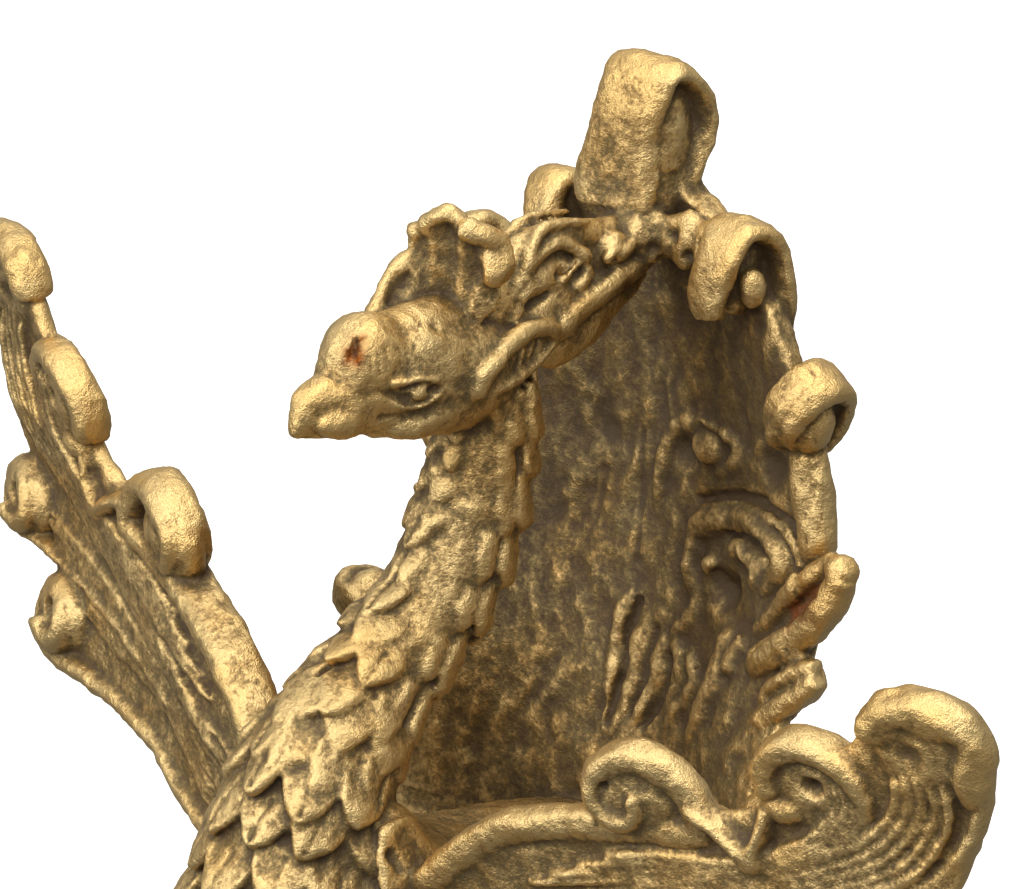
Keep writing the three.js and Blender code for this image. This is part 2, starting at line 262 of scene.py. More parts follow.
def addFeathers(metal, core):
    # Rows of feathers from under the jaw down over the breast. The neck's sides stay smooth higher up.
    tree = BVHTree.FromBMesh(core)
    few, many = feather["reach"]
    t = 0.95
    row = 0
    while t > -0.02:
        centre, radius, along, front = neckFrame(max(t, 0.0))
        centre = centre - along * max(0.0, -t) * trunk["neckLength"]
        grown = clamped((0.93 - t) / 0.72)
        width = mix(*feather["width"], grown ** 1.2)
        count = max(5, round(math.tau * radius / (width * 0.84)))
        for i in range(count):
            turn = math.tau * (i + 0.5 * (row % 2)) / count
            swing = math.degrees(turn if turn < math.pi else turn - math.tau)
            if abs(swing) > mix(few, many, clamped((0.6 - t) / 0.14)):
                continue
            out = front * math.cos(turn) + sideways * math.sin(turn)
            hit = tree.ray_cast(centre + out * feather["skinReach"], -out)
            if hit[0] is None:
                continue
            skinOut = (hit[1] * 0.6 + out * 0.4).normalized()
            down = (-along - skinOut * -along.dot(skinOut)).normalized()
            down = (down + down.cross(skinOut) * random.uniform(-0.38, 0.38)).normalized()
            big = width * random.uniform(0.82, 1.14)
            rise = mix(*feather["rise"], grown) * random.uniform(0.7, 1.2)
            shift = down * (width * random.uniform(-0.12, 0.12)) - skinOut * random.uniform(0.05, 0.25)
            length = big * random.uniform(1.18, 1.4)
            points = addFeather(metal, hit[0] + shift, down, skinOut, length, big, rise)
            if width > feather["scoredFrom"]:
                scoreFeather(points, down, skinOut, big)
        t -= width * 0.62 / trunk["neckLength"]
        row += 1


def scoreFeather(points, down, out, width):
    # Short slanting cuts beside the quill of some feathers, and a longer one along it.
    side = down.cross(out).normalized()
    for lean in (-0.2, 0.2):
        if random.random() < 0.75:
            slope = down * 0.9 + side * (-lean * 1.4)
            start = points[1] + side * (width * lean * 1.3) + out * 0.35
            end = start + slope * (width * random.uniform(0.2, 0.5))
            engrave([start, end], 0.11 * width, random.uniform(0.25, 0.55))
    if random.random() < 0.6:
        engrave([points[2] + out * 0.4, points[5] + out * 0.3], 0.22, random.uniform(0.1, 0.35))


def addHackles(metal):
    # Flat shingled plates along the back edges of the neck.
    shape = hackle["outline"]
    thicks = [thick for _, _, _, _, thick in shape]
    for sign in (1, -1):
        last, t = hackle["span"]
        while t > last:
            centre, radius, along, front = neckFrame(t)
            for degrees, width, push in hackle["columns"]:
                if sign < 0 and t > hackle["farTop"]:
                    continue
                turn = math.radians(degrees + random.uniform(-5, 5))
                out = (front * math.cos(turn) + sideways * (sign * math.sin(turn))).normalized()
                root = centre + out * (radius + push - 0.15) + along * random.uniform(-0.3, 0.3)
                length = hackle["length"] * random.uniform(0.85, 1.12)
                points = [root + along * (length * a) + out * b - front * c for a, b, c, _, _ in shape]
                widths = [width * part for _, _, _, part, _ in shape]
                addRod(metal, points, widths, thicks, along.cross(out), 8, 0.8)
            t -= hackle["step"]


# Head

head = {
    "skull": [  # y, z, half width, half height
        (2.9, 45.6, 0.6, 0.6), (2.0, 45.4, 2.0, 2.1), (0.4, 45.3, 2.65, 2.8), (-1.6, 45.35, 2.85, 3.1),
        (-3.6, 45.7, 2.75, 3.1), (-5.4, 45.9, 2.5, 2.9), (-7.0, 45.8, 2.15, 2.5), (-8.3, 45.45, 1.65, 1.7),
        (-9.1, 45.45, 1.3, 1.6), (-9.9, 45.35, 0.95, 1.4), (-10.5, 45.25, 0.65, 1.1),
        (-10.85, 45.3, 0.36, 0.7),
    ],
    "domes": [  # place and half sizes
        ((0, -6.35, 47.3), (2.2, 2.4, 2.3)), ((0, -3.9, 47.2), (2.5, 2.8, 1.85)),
        ((0, -3.2, 47.7), (1.8, 4.4, 1.65)),
    ],
    "sides": [  # cheek, beak side and eyeball, the same way
        ((1.55, -3.6, 44.1), (1.2, 3.0, 1.05)), ((0.95, -8.4, 44.95), (0.85, 1.7, 1.0)),
        ((2.4, -5.1, 45.95), (0.5, 0.62, 0.42)),
    ],
    "lids": [  # brow and lower lid: points and half thickness
        ([(2.4, -6.6, 46.75), (2.5, -6.0, 46.75), (2.65, -5.0, 46.6), (2.75, -3.9, 46.25)], 0.24),
        ([(2.45, -6.3, 45.6), (2.6, -5.4, 45.35), (2.75, -4.4, 45.45), (2.8, -3.7, 45.85)], 0.16),
    ],
    "lines": [  # eye corners, lids, mouth, nostril and jaw: points, how many along them, radius and depth
        ([(2.35, -7.2, 46.45), (2.6, -6.3, 46.0), (2.65, -5.9, 45.8)], 5, 0.44, 0.32),
        ([(2.85, -4.5, 46.0), (2.95, -3.8, 45.9)], 4, 0.36, 0.3),
        ([(2.5, -6.0, 46.3), (2.75, -5.2, 46.5), (2.85, -4.4, 46.35)], 6, 0.22, 0.22),
        ([(2.5, -6.0, 45.6), (2.75, -5.2, 45.45), (2.85, -4.4, 45.6)], 6, 0.22, 0.2),
        ([(0.3, -10.6, 44.2), (0.9, -9.7, 44.0), (1.4, -8.8, 43.9)], 8, 0.26, 0.4),
        ([(1.3, -9.2, 46.9), (1.75, -8.4, 46.55), (2.1, -7.6, 46.35)], 8, 0.6, 0.14),
        ([(2.1, -7.0, 44.9), (2.5, -5.4, 44.8), (2.75, -3.4, 45.0)], 8, 0.4, 0.12),
    ],
    "pit": [(1.2, -8.0, 48.35), (1.05, -7.7, 48.9)],
}


def addHead(metal):
    addLoft(metal, head["skull"], 36, 32, 0.82)
    for centre, half in head["domes"]:
        addBall(metal, centre, half)
    for sign in (1, -1):
        for (x, y, z), half in head["sides"]:
            addBall(metal, (x * sign, y, z), half)
        for rows, size in head["lids"]:
            addTapered(metal, smoothPath(mirrored(rows, sign), 18), size, size, (0.3, 0.4), sideways)
        for rows, count, radius, depth in head["lines"]:
            engrave(smoothPath(mirrored(rows, sign), count), radius, depth)
        # chiselled ticks over the brow and on the crown of the head
        for k in range(16):
            y = -8.4 + k * 0.42
            start = Vector(((2.25 - 0.03 * (y + 5) ** 2) * sign, y, 47.3 + 0.15 * math.sin(k * 2.1)))
            engrave([start, start + Vector((-0.35 * sign, 0.16, 1.0))], 0.17, 0.10)
        for k in range(14):
            start = Vector(((1.9 - 0.4 * (k % 3)) * sign, -4.6 + k * 0.3, 48.4 + 0.25 * math.sin(k * 1.7)))
            engrave([start, start + Vector((-0.3 * sign, 0.5, 0.3))], 0.18, 0.12)
    engrave([Vector(spot) for spot in head["pit"]], 0.32, 0.55)


# Crown: a thick-walled cup that opens forward, with a lobed rim

crown = {
    "rim": [  # x, y, z from the far side round the back to the near side
        (-1.7, -4.6, 48.0), (-1.95, -4.1, 48.7), (-2.0, -2.8, 50.3), (-1.75, -1.75, 50.95),
        (-1.75, -1.6, 52.2), (-1.3, -1.4, 52.3), (-0.8, -1.5, 53.0), (-0.2, -1.1, 53.5), (0.3, -0.6, 53.3),
        (0.6, -0.6, 52.7), (1.0, -0.8, 53.0), (1.4, -0.4, 52.9), (1.8, 0.2, 52.4), (1.95, 0.2, 51.6),
        (2.0, 0.1, 50.9), (1.9, 0.1, 50.2),
    ],
    "foot": [  # the same way
        (-1.5, -4.2, 47.9), (-1.5, -3.8, 48.0), (-1.4, -3.0, 48.2), (-1.2, -2.4, 48.6), (-1.0, -1.8, 48.8),
        (-0.8, -1.4, 49.0), (-0.5, -1.0, 49.0), (-0.2, -0.8, 49.0), (0.1, -0.6, 48.9), (0.4, -0.5, 48.8),
        (0.7, -0.5, 48.7), (1.0, -0.5, 48.5), (1.2, -0.5, 48.4), (1.5, -0.6, 48.2), (1.6, -0.7, 48.0),
    ],
    "middle": Vector((0, -3.0, 50.0)),
    "wall": (0.8, 0.42),  # half thickness at the foot and at the rim
    "mass": ((0.4, 1.3, 47.8), (1.2, 1.6, 2.2)),
    "fold": [(-1.7, -1.75, 50.9), (-1.45, -1.9, 50.2), (-1.3, -2.3, 49.4), (-1.3, -3.2, 48.8)],
    "lobes": [  # points, half width and half thickness
        ([(-0.9, -1.4, 52.7), (-0.5, -1.3, 53.2), (0.1, -0.9, 53.4), (0.5, -0.6, 53.1)], 0.55, 0.42),
        ([(0.8, -0.8, 52.8), (1.3, -0.6, 52.8), (1.8, 0.2, 52.4), (1.9, 1.0, 52.0)], 0.62, 0.58),
    ],
    "flap": [(1.75, 0.5, 52.1), (2.15, 0.3, 51.3), (2.25, 0.2, 50.7), (1.95, 0.2, 50.1)],
    "flapForward": (0.9, 0.0),  # far flap, near flap
    "hole": [(0.9, -1.6, 49.4), (1.4, -1.4, 49.2)],
}


def addCrown(metal):
    addBall(metal, *crown["mass"])

    def place(turn, t, spread):
        low = Vector(smoothRow(crown["foot"], t))
        high = Vector(smoothRow(crown["rim"], t))
        rise = 0.5 - 0.5 * boxy(math.cos(turn * math.tau), 0.7)
        spot = low.lerp(high, rise if spread else 0.5)
        out = spot - crown["middle"]
        out.z = 0
        swell = math.sin(rise * math.pi) * 0.3
        wall = math.sin(turn * math.tau) * mix(*crown["wall"], rise) * spread
        return spot + out.normalized() * (swell + wall)

    addSkin(metal, place, 60, 22)
    lip = smoothPath(crown["rim"], 60)
    thick = [0.36 + 0.2 * math.sin(i * 0.5) ** 2 for i in range(60)]
    thick[0] = 0.2
    addRod(metal, lip, thick, thick, upward)
    addTapered(metal, smoothPath(crown["fold"], 12), 0.42, 0.42, (0.7, 0.4), sideways)
    for rows, width, height in crown["lobes"]:
        addTapered(metal, smoothPath(rows, 12), width, height, (0.6, 0.6), -forward)
    for sign in (1, -1):
        ahead = crown["flapForward"][0 if sign < 0 else 1]
        flap = smoothPath([(x * sign, y - ahead, z) for x, y, z in crown["flap"]], 14)
        wide = Vector((0.2, 1, 0.5))
        addRod(metal, flap, tapered(0.85, 14, 0.6, 0.3), tapered(0.55, 14, 0.6, 0.4), wide, 10, 0.8)
    engrave([Vector(spot) for spot in crown["hole"]], 0.4, 0.4)


# Ear leaves: behind each cheek a thick front lobe, a top edge that sweeps back, and a hollow between

earLeaf = {
    "lobes": [  # points, how many along them, half width, half thickness, what is left at the ends
        ([(2.6, -1.5, 44.9), (2.75, -1.4, 45.4), (2.8, -1.0, 46.0), (2.7, -0.2, 46.5)],
         14, 0.6, 0.62, (0.9, 0.9)),
        ([(2.65, -0.4, 46.4), (2.5, 0.8, 46.95), (2.35, 2.2, 47.2), (2.15, 3.4, 46.9), (2.0, 4.2, 46.2)],
         20, 0.5, 0.5, (0.9, 0.5)),
        ([(2.55, -1.1, 44.7), (2.6, 0.4, 44.8), (2.4, 2.0, 45.1), (2.25, 3.3, 45.6), (2.0, 4.2, 46.2)],
         22, 0.28, 0.28, (0.8, 0.8)),
    ],
    "filling": [  # place, half sizes and tilt
        ((1.75, 1.5, 45.8), (0.7, 2.5, 1.0), 14), ((1.0, 3.4, 46.9), (1.0, 3.0, 1.5), 20),
    ],
    "napeFeathers": 3,
    "napeStep": 0.9,
}


def addEarLeaves(metal):
    for sign in (1, -1):
        for rows, count, width, height, ends in earLeaf["lobes"]:
            addTapered(metal, smoothPath(mirrored(rows, sign), count), width, height, ends, sideways, 10)
        for (x, y, z), half, degrees in earLeaf["filling"]:
            addBall(metal, (x * sign, y, z), half, tilted(degrees))
        for k in range(5):
            start = Vector((2.4 * sign, 0.0 + k * 0.6, 45.3 + k * 0.1))
            engrave([start, start + Vector((-0.05 * sign, 0.35, 0.8))], 0.2, 0.18)
        # feathered nape below the leaf
        for k in range(earLeaf["napeFeathers"]):
            back = k * earLeaf["napeStep"]
            rows = [(2.1, -0.4 + back, 44.2 - k * 0.1), (2.15, 0.3 + back, 43.0), (1.9, 0.6 + back, 41.8)]
            addTapered(metal, smoothPath(mirrored(rows, sign), 8), 0.46, 0.3, (0.6, 0.3), -forward)


# Crest: from behind the crown back to the tail fan

crest = {
    "topRidge": [
        (0.0, 0.6, 48.2), (0.1, 2.4, 49.8), (0.2, 4.4, 50.7), (0.2, 6.4, 50.6), (0.1, 8.4, 50.0),
        (0, 10.6, 49.9),
    ],
    "masses": [  # place, half sizes and tilt
        ((0, 6.2, 48.2), (1.15, 4.8, 2.0), 10), ((0, 3.8, 48.7), (1.6, 3.4, 1.75), 0),
        ((0, 10.4, 48.9), (1.2, 2.6, 1.5), 0),
    ],
    "ribs": [  # points, half width, half height, what is left at the ends
        ([(1.9, 3.8, 46.2), (1.85, 5.0, 46.7), (1.7, 6.8, 47.4), (1.5, 8.5, 47.9), (1.0, 10.7, 48.2),
          (0.6, 12.0, 48.6)], 0.5, 0.62, (0.6, 0.5)),
        ([(1.2, 3.6, 45.3), (1.4, 5.2, 45.3), (1.3, 7.0, 46.0), (1.0, 8.8, 47.0), (0.8, 11.0, 47.8)],
         0.4, 1.1, (0.5, 0.5)),
    ],
    # y, z points, then a scroll: centre, reach, how fast it draws in, start, turn, squash
    "loop": ([(1.8, 48.6), (3.2, 50.0), (4.8, 50.6)], (5.2, 49.3), 1.4, 0.12, 65, -380, 0.85),
    "ring": ([], (8.8, 49.3), 0.7, 0.0, 0, 360, 1.0),
    "tufts": 9,
}


def addCrest(metal):
    addRod(metal, smoothPath(crest["topRidge"], 24), 0.8, 0.75, sideways, 12)
    for centre, half, degrees in crest["masses"]:
        addBall(metal, centre, half, tilted(degrees))
    for sign in (1, -1):
        for rows, width, height, ends in crest["ribs"]:
            addTapered(metal, smoothPath(mirrored(rows, sign), 20), width, height, ends, sideways, 10)
        loop = [Vector((sign * (1.4 - 0.25 * abs(z - 49)), y, z)) for y, z in scrollRows(*crest["loop"])]
        addTapered(metal, smoothPath(loop, 40), 0.36, 0.36, (0.6, 0.4), upward)
        ring = [Vector((sign * 1.1, y, z)) for y, z in scrollRows(*crest["ring"])]
        addRod(metal, ring, 0.28, 0.28, sideways)
        addBall(metal, (1.1 * sign, *crest["ring"][1]), (0.3, 0.3, 0.3))
        for k in range(crest["tufts"]):
            # short rough tufts over the side
            y = 1.4 + k * 0.9
            z = 47.2 + 0.9 * math.sin(k * 1.9) + 0.16 * y
            rows = [(1.45, y, z), (1.5, y + 0.6, z + 0.45), (1.3, y + 1.3, z + 0.6)]
            addTapered(metal, smoothPath(mirrored(rows, sign), 8), 0.3, 0.32, (0.5, 0.3), sideways, 6)
        engrave(smoothPath([(1.5 * sign, 4.8, 49.1), (1.5 * sign, 5.8, 49.5)], 4), 0.45, 0.5)
        engrave(smoothPath([(1.5 * sign, 2.6, 48.0), (1.5 * sign, 4.0, 48.4)], 5), 0.3, 0.3)


# Wings

wing = {
    "shoulder": Vector((7.0, -7.7, 22.0)),
    "outward": Vector((0.956, 0.292, 0.0)).normalized(),
    "face": Vector((0.29, -0.95, -0.12)).normalized(),
    "ridge": (2.0, 0.45),  # the spine of the wing; below it the wing cups forward
    "cup": 0.0153,
    # the casting isn't even: far wing, then near wing
    "raised": (0.7, 0.3),
    "swept": (0.9, 0.0),  # how far the upper tips come forward
    "leaned": (0.9, 0.0),  # how far the top edge lies back near the body
    "tipRaised": (0.8, -0.3),
    "stripDepth": (0.95, 0.55),  # part of its full depth that the edge strip has near the body
    "stripEyeDepth": (1.35, 1.0),
    "lowEyeSize": (1.12, 1.0),
    "webHalf": 0.62,
    "rimHalf": 1.35,
    "web": [  # outward, lower edge, upper edge
        (-4.0, -6.0, -1.6), (0.0, -5.8, 0.7), (3.6, -5.2, 3.3), (7.0, -4.6, 4.6), (10.0, -3.4, 6.4),
        (12.4, -2.4, 8.0), (15.0, -2.2, 8.4), (18.5, -2.2, 9.4), (21.0, -1.9, 12.6), (23.6, 0.0, 14.2),
        (25.8, 3.6, 16.8), (28.4, 5.4, 18.0), (30.2, 8.6, 17.4), (31.0, 11.4, 16.0),
    ],
    "shafts": {  # outward and up along each plume, up to its scroll
        "strip": [(-4.0, -2.4), (-1.0, -0.7), (1.1, 1.4), (3.1, 3.4), (5.5, 4.9), (9.2, 6.1), (13.0, 6.9)],
        "middle": [(12.5, 3.4), (17.5, 5.4), (21.8, 7.6), (24.6, 9.8)],
        "outer": [(4.0, -0.8), (13.0, 2.2), (22.0, 5.4), (28.2, 8.2), (30.6, 11.0), (31.3, 13.6)],
        "tip": [(8.0, -0.6), (16.0, 1.0), (24.0, 2.1), (28.8, 2.2)],
        "low": [(-2.0, -5.7), (4.0, -5.3), (8.6, -4.2), (12.0, -2.9), (18.0, -2.7), (22.0, -2.7)],
    },
    "scrolls": {  # centre, reach, how fast it draws in, start, turn, squash
        "strip": ((11.9, 8.4), 4.1, 0.26, -18, 430, 0.88),
        "middle": ((22.3, 11.7), 3.0, 0.05, -30, 235, 0.88),
        "outer": ((28.4, 15.9), 3.1, 0.05, -10, 190, 0.75),
        "tip": ((28.2, 4.1), 2.4, 0.14, -60, 380, 0.9),
        "low": ((22.6, -0.5), 2.4, 0.14, -70, 400, 0.9),
    },
    "sizes": {
        # points, half depth, half thickness, swelling at the tip, the scroll's start, thickness before it
        "strip": (70, 1.05, 0.66, 0.85, 0.35, 1.3),
        "middle": (64, 0.78, 0.7, 1.2, 0.2, 0.35),
        "outer": (60, 0.85, 0.72, 1.4, 0.35, 0.6),
        "tip": (56, 1.6, 0.8, 1.1, 0.3, 0.5),
        "low": (60, 1.6, 0.85, 1.1, 0.4, 0.8),
    },
    "shaftDepth": 0.52,  # the part of their full depth that the other plumes begin with
    "lowSink": -0.35,  # the two lower plumes lie back in the web
    "eyes": {  # size, half depth and the boss in the middle
        "strip": (2.9, 1.0, 0.62),
        "middle": (2.9, 0.75, 0.0),
        "outer": (3.2, 0.9, 0.0),
        "tip": (2.4, 1.5, 0.5),
        "low": (2.4, 1.4, 0.5),
    },
    "outerTip": [  # balls that fill the rolled upper tip: outward, up, rise and half sizes
        (26.6, 17.1, 0.1, (1.3, 1.5, 0.95)), (29.0, 17.7, 0.1, (2.3, 1.3, 1.0)),
        (30.9, 15.6, 0.1, (0.95, 2.6, 0.95)), (28.6, 15.9, 0.2, (2.0, 2.2, 0.8)),
    ],
    "knot": [(15.2, 8.9), (17.0, 8.2), (18.6, 7.3), (19.4, 8.2), (19.8, 9.9)],
    # barbs lie between two lines: outward and up
    "outerBarbs": (
        [(4.0, -0.8), (13.0, 2.2), (22.0, 5.4), (28.0, 8.2), (30.1, 11.0), (30.6, 13.2), (29.8, 15.4),
         (28.0, 16.6)],
        [(4.0, 1.0), (13.0, 4.0), (20.4, 7.0), (24.6, 9.4), (26.4, 11.4), (27.0, 13.0), (26.9, 14.2),
         (26.4, 15.0)],
    ),
    "middleBarbs": (
        [(6.0, 1.8), (13.0, 4.2), (19.0, 6.2), (23.4, 8.6), (25.3, 11.2), (25.2, 12.8), (24.0, 14.2)],
        [(6.0, 3.4), (12.4, 5.6), (17.6, 6.6), (21.4, 8.6), (23.4, 10.8), (23.6, 12.2), (22.8, 13.2)],
    ),
    "lowerBarbs": (
        [(-1.0, -4.6), (5.0, -3.6), (11.0, -0.6), (18.0, 0.0), (22.0, 1.2)],
        [(-1.0, -2.0), (5.0, 0.6), (12.0, 1.4), (20.0, 3.2), (27.0, 4.4)],
    ),
    "pits": [  # outward, up, rise, radius and depth
        (22.5, 0.3, 1.6, 0.8, 0.7), (27.9, 4.8, 1.6, 0.8, 0.7), (22.5, 12.1, 0.7, 0.7, 0.8),
        (28.0, 15.6, 0.7, 1.1, 0.4), (10.9, 9.2, 0.7, 0.5, 0.35),
    ],
}
wing["up"] = wing["face"].cross(wing["outward"]).normalized()


def onWing(sign, out, up, rise):  # a point of the wing's face: outward, up and above it
    side = 0 if sign < 0 else 1
    below = max(0.0, wing["ridge"][0] + wing["ridge"][1] * out - up)
    ahead = rise + wing["cup"] * below * below
    tip = clamped((out - 15.0) / 6.0) * clamped((up - 6.0) / 4.0)
    back = clamped((22.0 - out) / 8.0) * clamped((up + 2.0 - 0.5 * out) / 3.0)
    ahead += wing["swept"][side] * tip - wing["leaned"][side] * back
    point = wing["shoulder"] + wing["outward"] * out + wing["up"] * up + wing["face"] * ahead
    lift = wing["raised"][side] * clamped((out - 11.0) / 6.0)
    lift += wing["tipRaised"][side] * clamped((out - 20.0) / 5.0) * clamped((up - 10.0) / 4.0)
    return Vector((point.x * sign, point.y, point.z + lift))


def wingWay(sign, name):  # one of the wing's directions, on either side
    way = wing[name]
    return Vector((way.x * sign, way.y, way.z))


def addPlume(metal, sign, name):
    count, deep, thick, last, begin, start = wing["sizes"][name]
    rows = smoothPath(scrollRows(wing["shafts"][name], *wing["scrolls"][name]), count)
    rise = wing["lowSink"] if name in ("tip", "low") else 0.0
    first = wing["stripDepth"][0 if sign < 0 else 1] if name == "strip" else wing["shaftDepth"]
    widths = []
    heights = []
    for i in range(count):
        # slim along the shaft, full depth from where the scroll begins
        t = i / (count - 1)
        grown = clamped((t - begin) / 0.25)
        widths.append(deep * wing["rimHalf"] * mix(first, 1.0, grown))
        heights.append(thick * mix(start, 1.0, grown) * mix(1.0, last, max(0.0, t * 2 - 1)))
    widths[0] *= 0.5
    widths[-1] *= 0.7
    heights[-1] *= 0.6
    line = [onWing(sign, out, up, rise) for out, up in rows]
    addRod(metal, line, widths, heights, wingWay(sign, "face"), 12, 0.75)


def addBarb(metal, sign, lines, part, first, last, half, rise):
    # A raised line between two others, from first to last along them.
    count = 34
    points = []
    for i in range(count):
        t = mix(first, last, i / (count - 1))
        a = smoothRow(lines[0], t)
        b = smoothRow(lines[1], t)
        points.append(onWing(sign, mix(a[0], b[0], part), mix(a[1], b[1], part), rise))
    wave = [half * (1 + 0.25 * noise.noise(point * 0.9)) for point in points]
    wave[0] *= 0.4
    wave[-1] *= 0.4
    addRod(metal, points, [size * 1.15 for size in wave], wave, wingWay(sign, "face"), 6)


def addWing(metal, sign):
    side = 0 if sign < 0 else 1
    face = wingWay(sign, "face")

    def place(turn, t, spread):
        out, low, high = smoothRow(wing["web"], t)
        cosine = boxy(math.cos(turn * math.tau), 0.6) * spread
        sine = boxy(math.sin(turn * math.tau), 0.6) * spread
        dip = -0.35 * (1 - cosine * cosine)
        return onWing(sign, out, mix(low, high, 0.5 + 0.5 * cosine), sine * wing["webHalf"] + dip * spread)

    addSkin(metal, place, 40, 36)
    for name in wing["shafts"]:
        addPlume(metal, sign, name)
    addBall(metal, onWing(sign, 20.6, 10.2, 0.1), (1.3, 0.9, 0.9))

    # filled eyes of the scrolls
    turn = Matrix((wingWay(sign, "outward"), wingWay(sign, "up"), face)).transposed()
    for name, (size, deep, boss) in wing["eyes"].items():
        centre = wing["scrolls"][name][0]
        if name in ("tip", "low"):
            size *= wing["lowEyeSize"][side]
        if name == "strip":
            deep *= wing["stripEyeDepth"][side]
        addBall(metal, onWing(sign, *centre, 0.0), (size, size * 0.85, deep), turn)
        if boss:
            addBall(metal, onWing(sign, centre[0] - 0.1, centre[1], 0.45), (boss, boss, 0.75))
    for out, high, rise, half in wing["outerTip"]:
        addBall(metal, onWing(sign, out, high, rise), half, turn)

    # joint between the strip's scroll and the middle plume
    knot = [onWing(sign, out, high, 0.25) for out, high in smoothPath(wing["knot"], 16)]
    addRod(metal, knot, tapered(1.05, 16, 0.6, 0.7), tapered(0.5, 16, 0.5, 0.8), face, 10)
    addBall(metal, onWing(sign, 19.0, 7.1, 0.5), (0.9, 0.8, 0.9))

    # barbs follow the plumes and sweep round inside their scrolls
    for k in range(5):
        addBarb(metal, sign, wing["outerBarbs"], 0.2 + 0.2 * k, 0.03 * k, 0.97 - 0.03 * k, 0.27, 0.56)
    for k in range(4):
        addBarb(metal, sign, wing["middleBarbs"], 0.1 + 0.28 * k, 0.04 * k, 0.95 - 0.03 * k, 0.26, 0.56)
    for k in range(9):
        addBarb(metal, sign, wing["lowerBarbs"], k / 8, 0.03 * (k % 2), 1.0 - 0.05 * (k % 2), 0.2, 0.4)
    for out, high, rise, radius, depth in wing["pits"]:
        cuts.append((onWing(sign, out, high, rise), radius, depth))


# Tail fan

fan = {
    "stations": [  # z, y of the middle, half width, how far the sides come forward
        (14.0, 8.6, 12.6, 3.0), (20.0, 9.8, 15.2, 4.2), (26.0, 11.4, 14.6, 3.8), (32.0, 13.0, 14.2, 2.4),
        (38.0, 13.8, 14.2, 2.6), (43.0, 14.0, 12.4, 2.4), (47.5, 13.9, 9.3, 1.5), (50.8, 13.6, 4.6, 0.7),
        (51.9, 13.4, 2.0, 0.3), (54.0, 13.3, 1.5, 0.2),
    ],
    "half": 0.95,
    "ridges": [  # x, z points of the raised lines inside the fan, then their half width
        ([(3.7, 35.0), (7.5, 36.5), (10.9, 37.0), (12.6, 36.5), (13.2, 35.6)], 0.24),
        ([(3.1, 33.6), (4.8, 34.7), (7.1, 35.7), (9.5, 36.2), (11.2, 35.9), (11.5, 35.0), (10.9, 34.1),
          (9.8, 32.9)], 0.56),
        ([(6.7, 33.8), (7.7, 34.3), (8.6, 34.2), (9.1, 33.6), (8.9, 32.7)], 0.4),
        ([(3.9, 34.0), (3.4, 33.0), (3.6, 31.8), (4.6, 30.4), (4.2, 29.2), (3.7, 28.3), (4.6, 27.3),
          (4.8, 26.2), (3.5, 23.7)], 0.34),
        ([(3.2, 28.2), (2.8, 27.0), (2.9, 26.0), (2.6, 24.8), (2.0, 23.0)], 0.34),
        ([(1.3, 28.8), (1.0, 26.9), (1.3, 25.5), (1.0, 24.1), (0.5, 22.0)], 0.3),
        ([(-0.3, 29.4), (-0.7, 27.3), (-0.6, 25.9), (-0.3, 24.8), (-0.2, 22.0)], 0.34),
        ([(4.9, 28.1), (5.9, 27.2), (6.0, 26.4), (5.2, 25.2), (4.2, 23.6)], 0.3),
        ([(8.0, 30.4), (7.8, 28.8), (7.9, 27.8), (7.6, 26.4), (6.6, 24.0)], 0.4),
        ([(9.3, 30.3), (8.8, 29.3), (8.6, 28.2)], 0.34),
        ([(5.0, 39.7), (3.1, 39.5), (1.8, 38.9), (1.0, 38.0), (0.6, 36.8), (0.5, 35.5), (0.4, 33.6)], 0.34),
        ([(5.0, 39.7), (6.1, 39.7), (6.6, 39.0), (5.9, 38.0), (4.6, 37.2)], 0.3),
    ],
    "grooves": [  # x, z points, radius and depth
        ([(3.6, 35.5), (7.4, 37.1), (11.0, 37.6), (13.0, 36.9)], 0.36, 0.36),
        ([(6.3, 34.6), (7.6, 35.1), (8.9, 35.1), (9.9, 34.6), (10.2, 33.6)], 0.34, 0.42),
        ([(0.3, 28.9), (0.1, 26.9), (0.4, 25.5), (0.1, 24.1), (-0.1, 22.4)], 0.4, 0.4),
        ([(2.1, 28.0), (1.9, 26.6), (2.0, 25.4), (1.6, 23.4)], 0.4, 0.35),
        ([(3.7, 27.2), (3.8, 26.0), (3.4, 24.8), (2.6, 23.2)], 0.4, 0.4),
        ([(-1.1, 37.6), (-1.0, 34.9), (-0.7, 32.9), (-0.4, 30.8)], 0.34, 0.16),
        ([(-3.5, 34.7), (-3.7, 32.7), (-4.1, 30.7)], 0.4, 0.16),
    ],
    "knobs": [(4.1, 38.5, (1.1, 0.6, 0.85)), (5.3, 32.6, (0.65, 0.5, 0.5))],  # x, z and half sizes
    "dips": [(6.6, 31.8, 1.5, 1.0), (2.2, 37.6, 1.0, 0.4), (10.0, 39.6, 1.7, 0.5), (-4.0, 37.0, 1.6, 0.3)],
    "edgeSpan": (0.40, 0.56),  # part of the height where a rod runs down the fan's edge
}

# Rolled plume tips round the fan

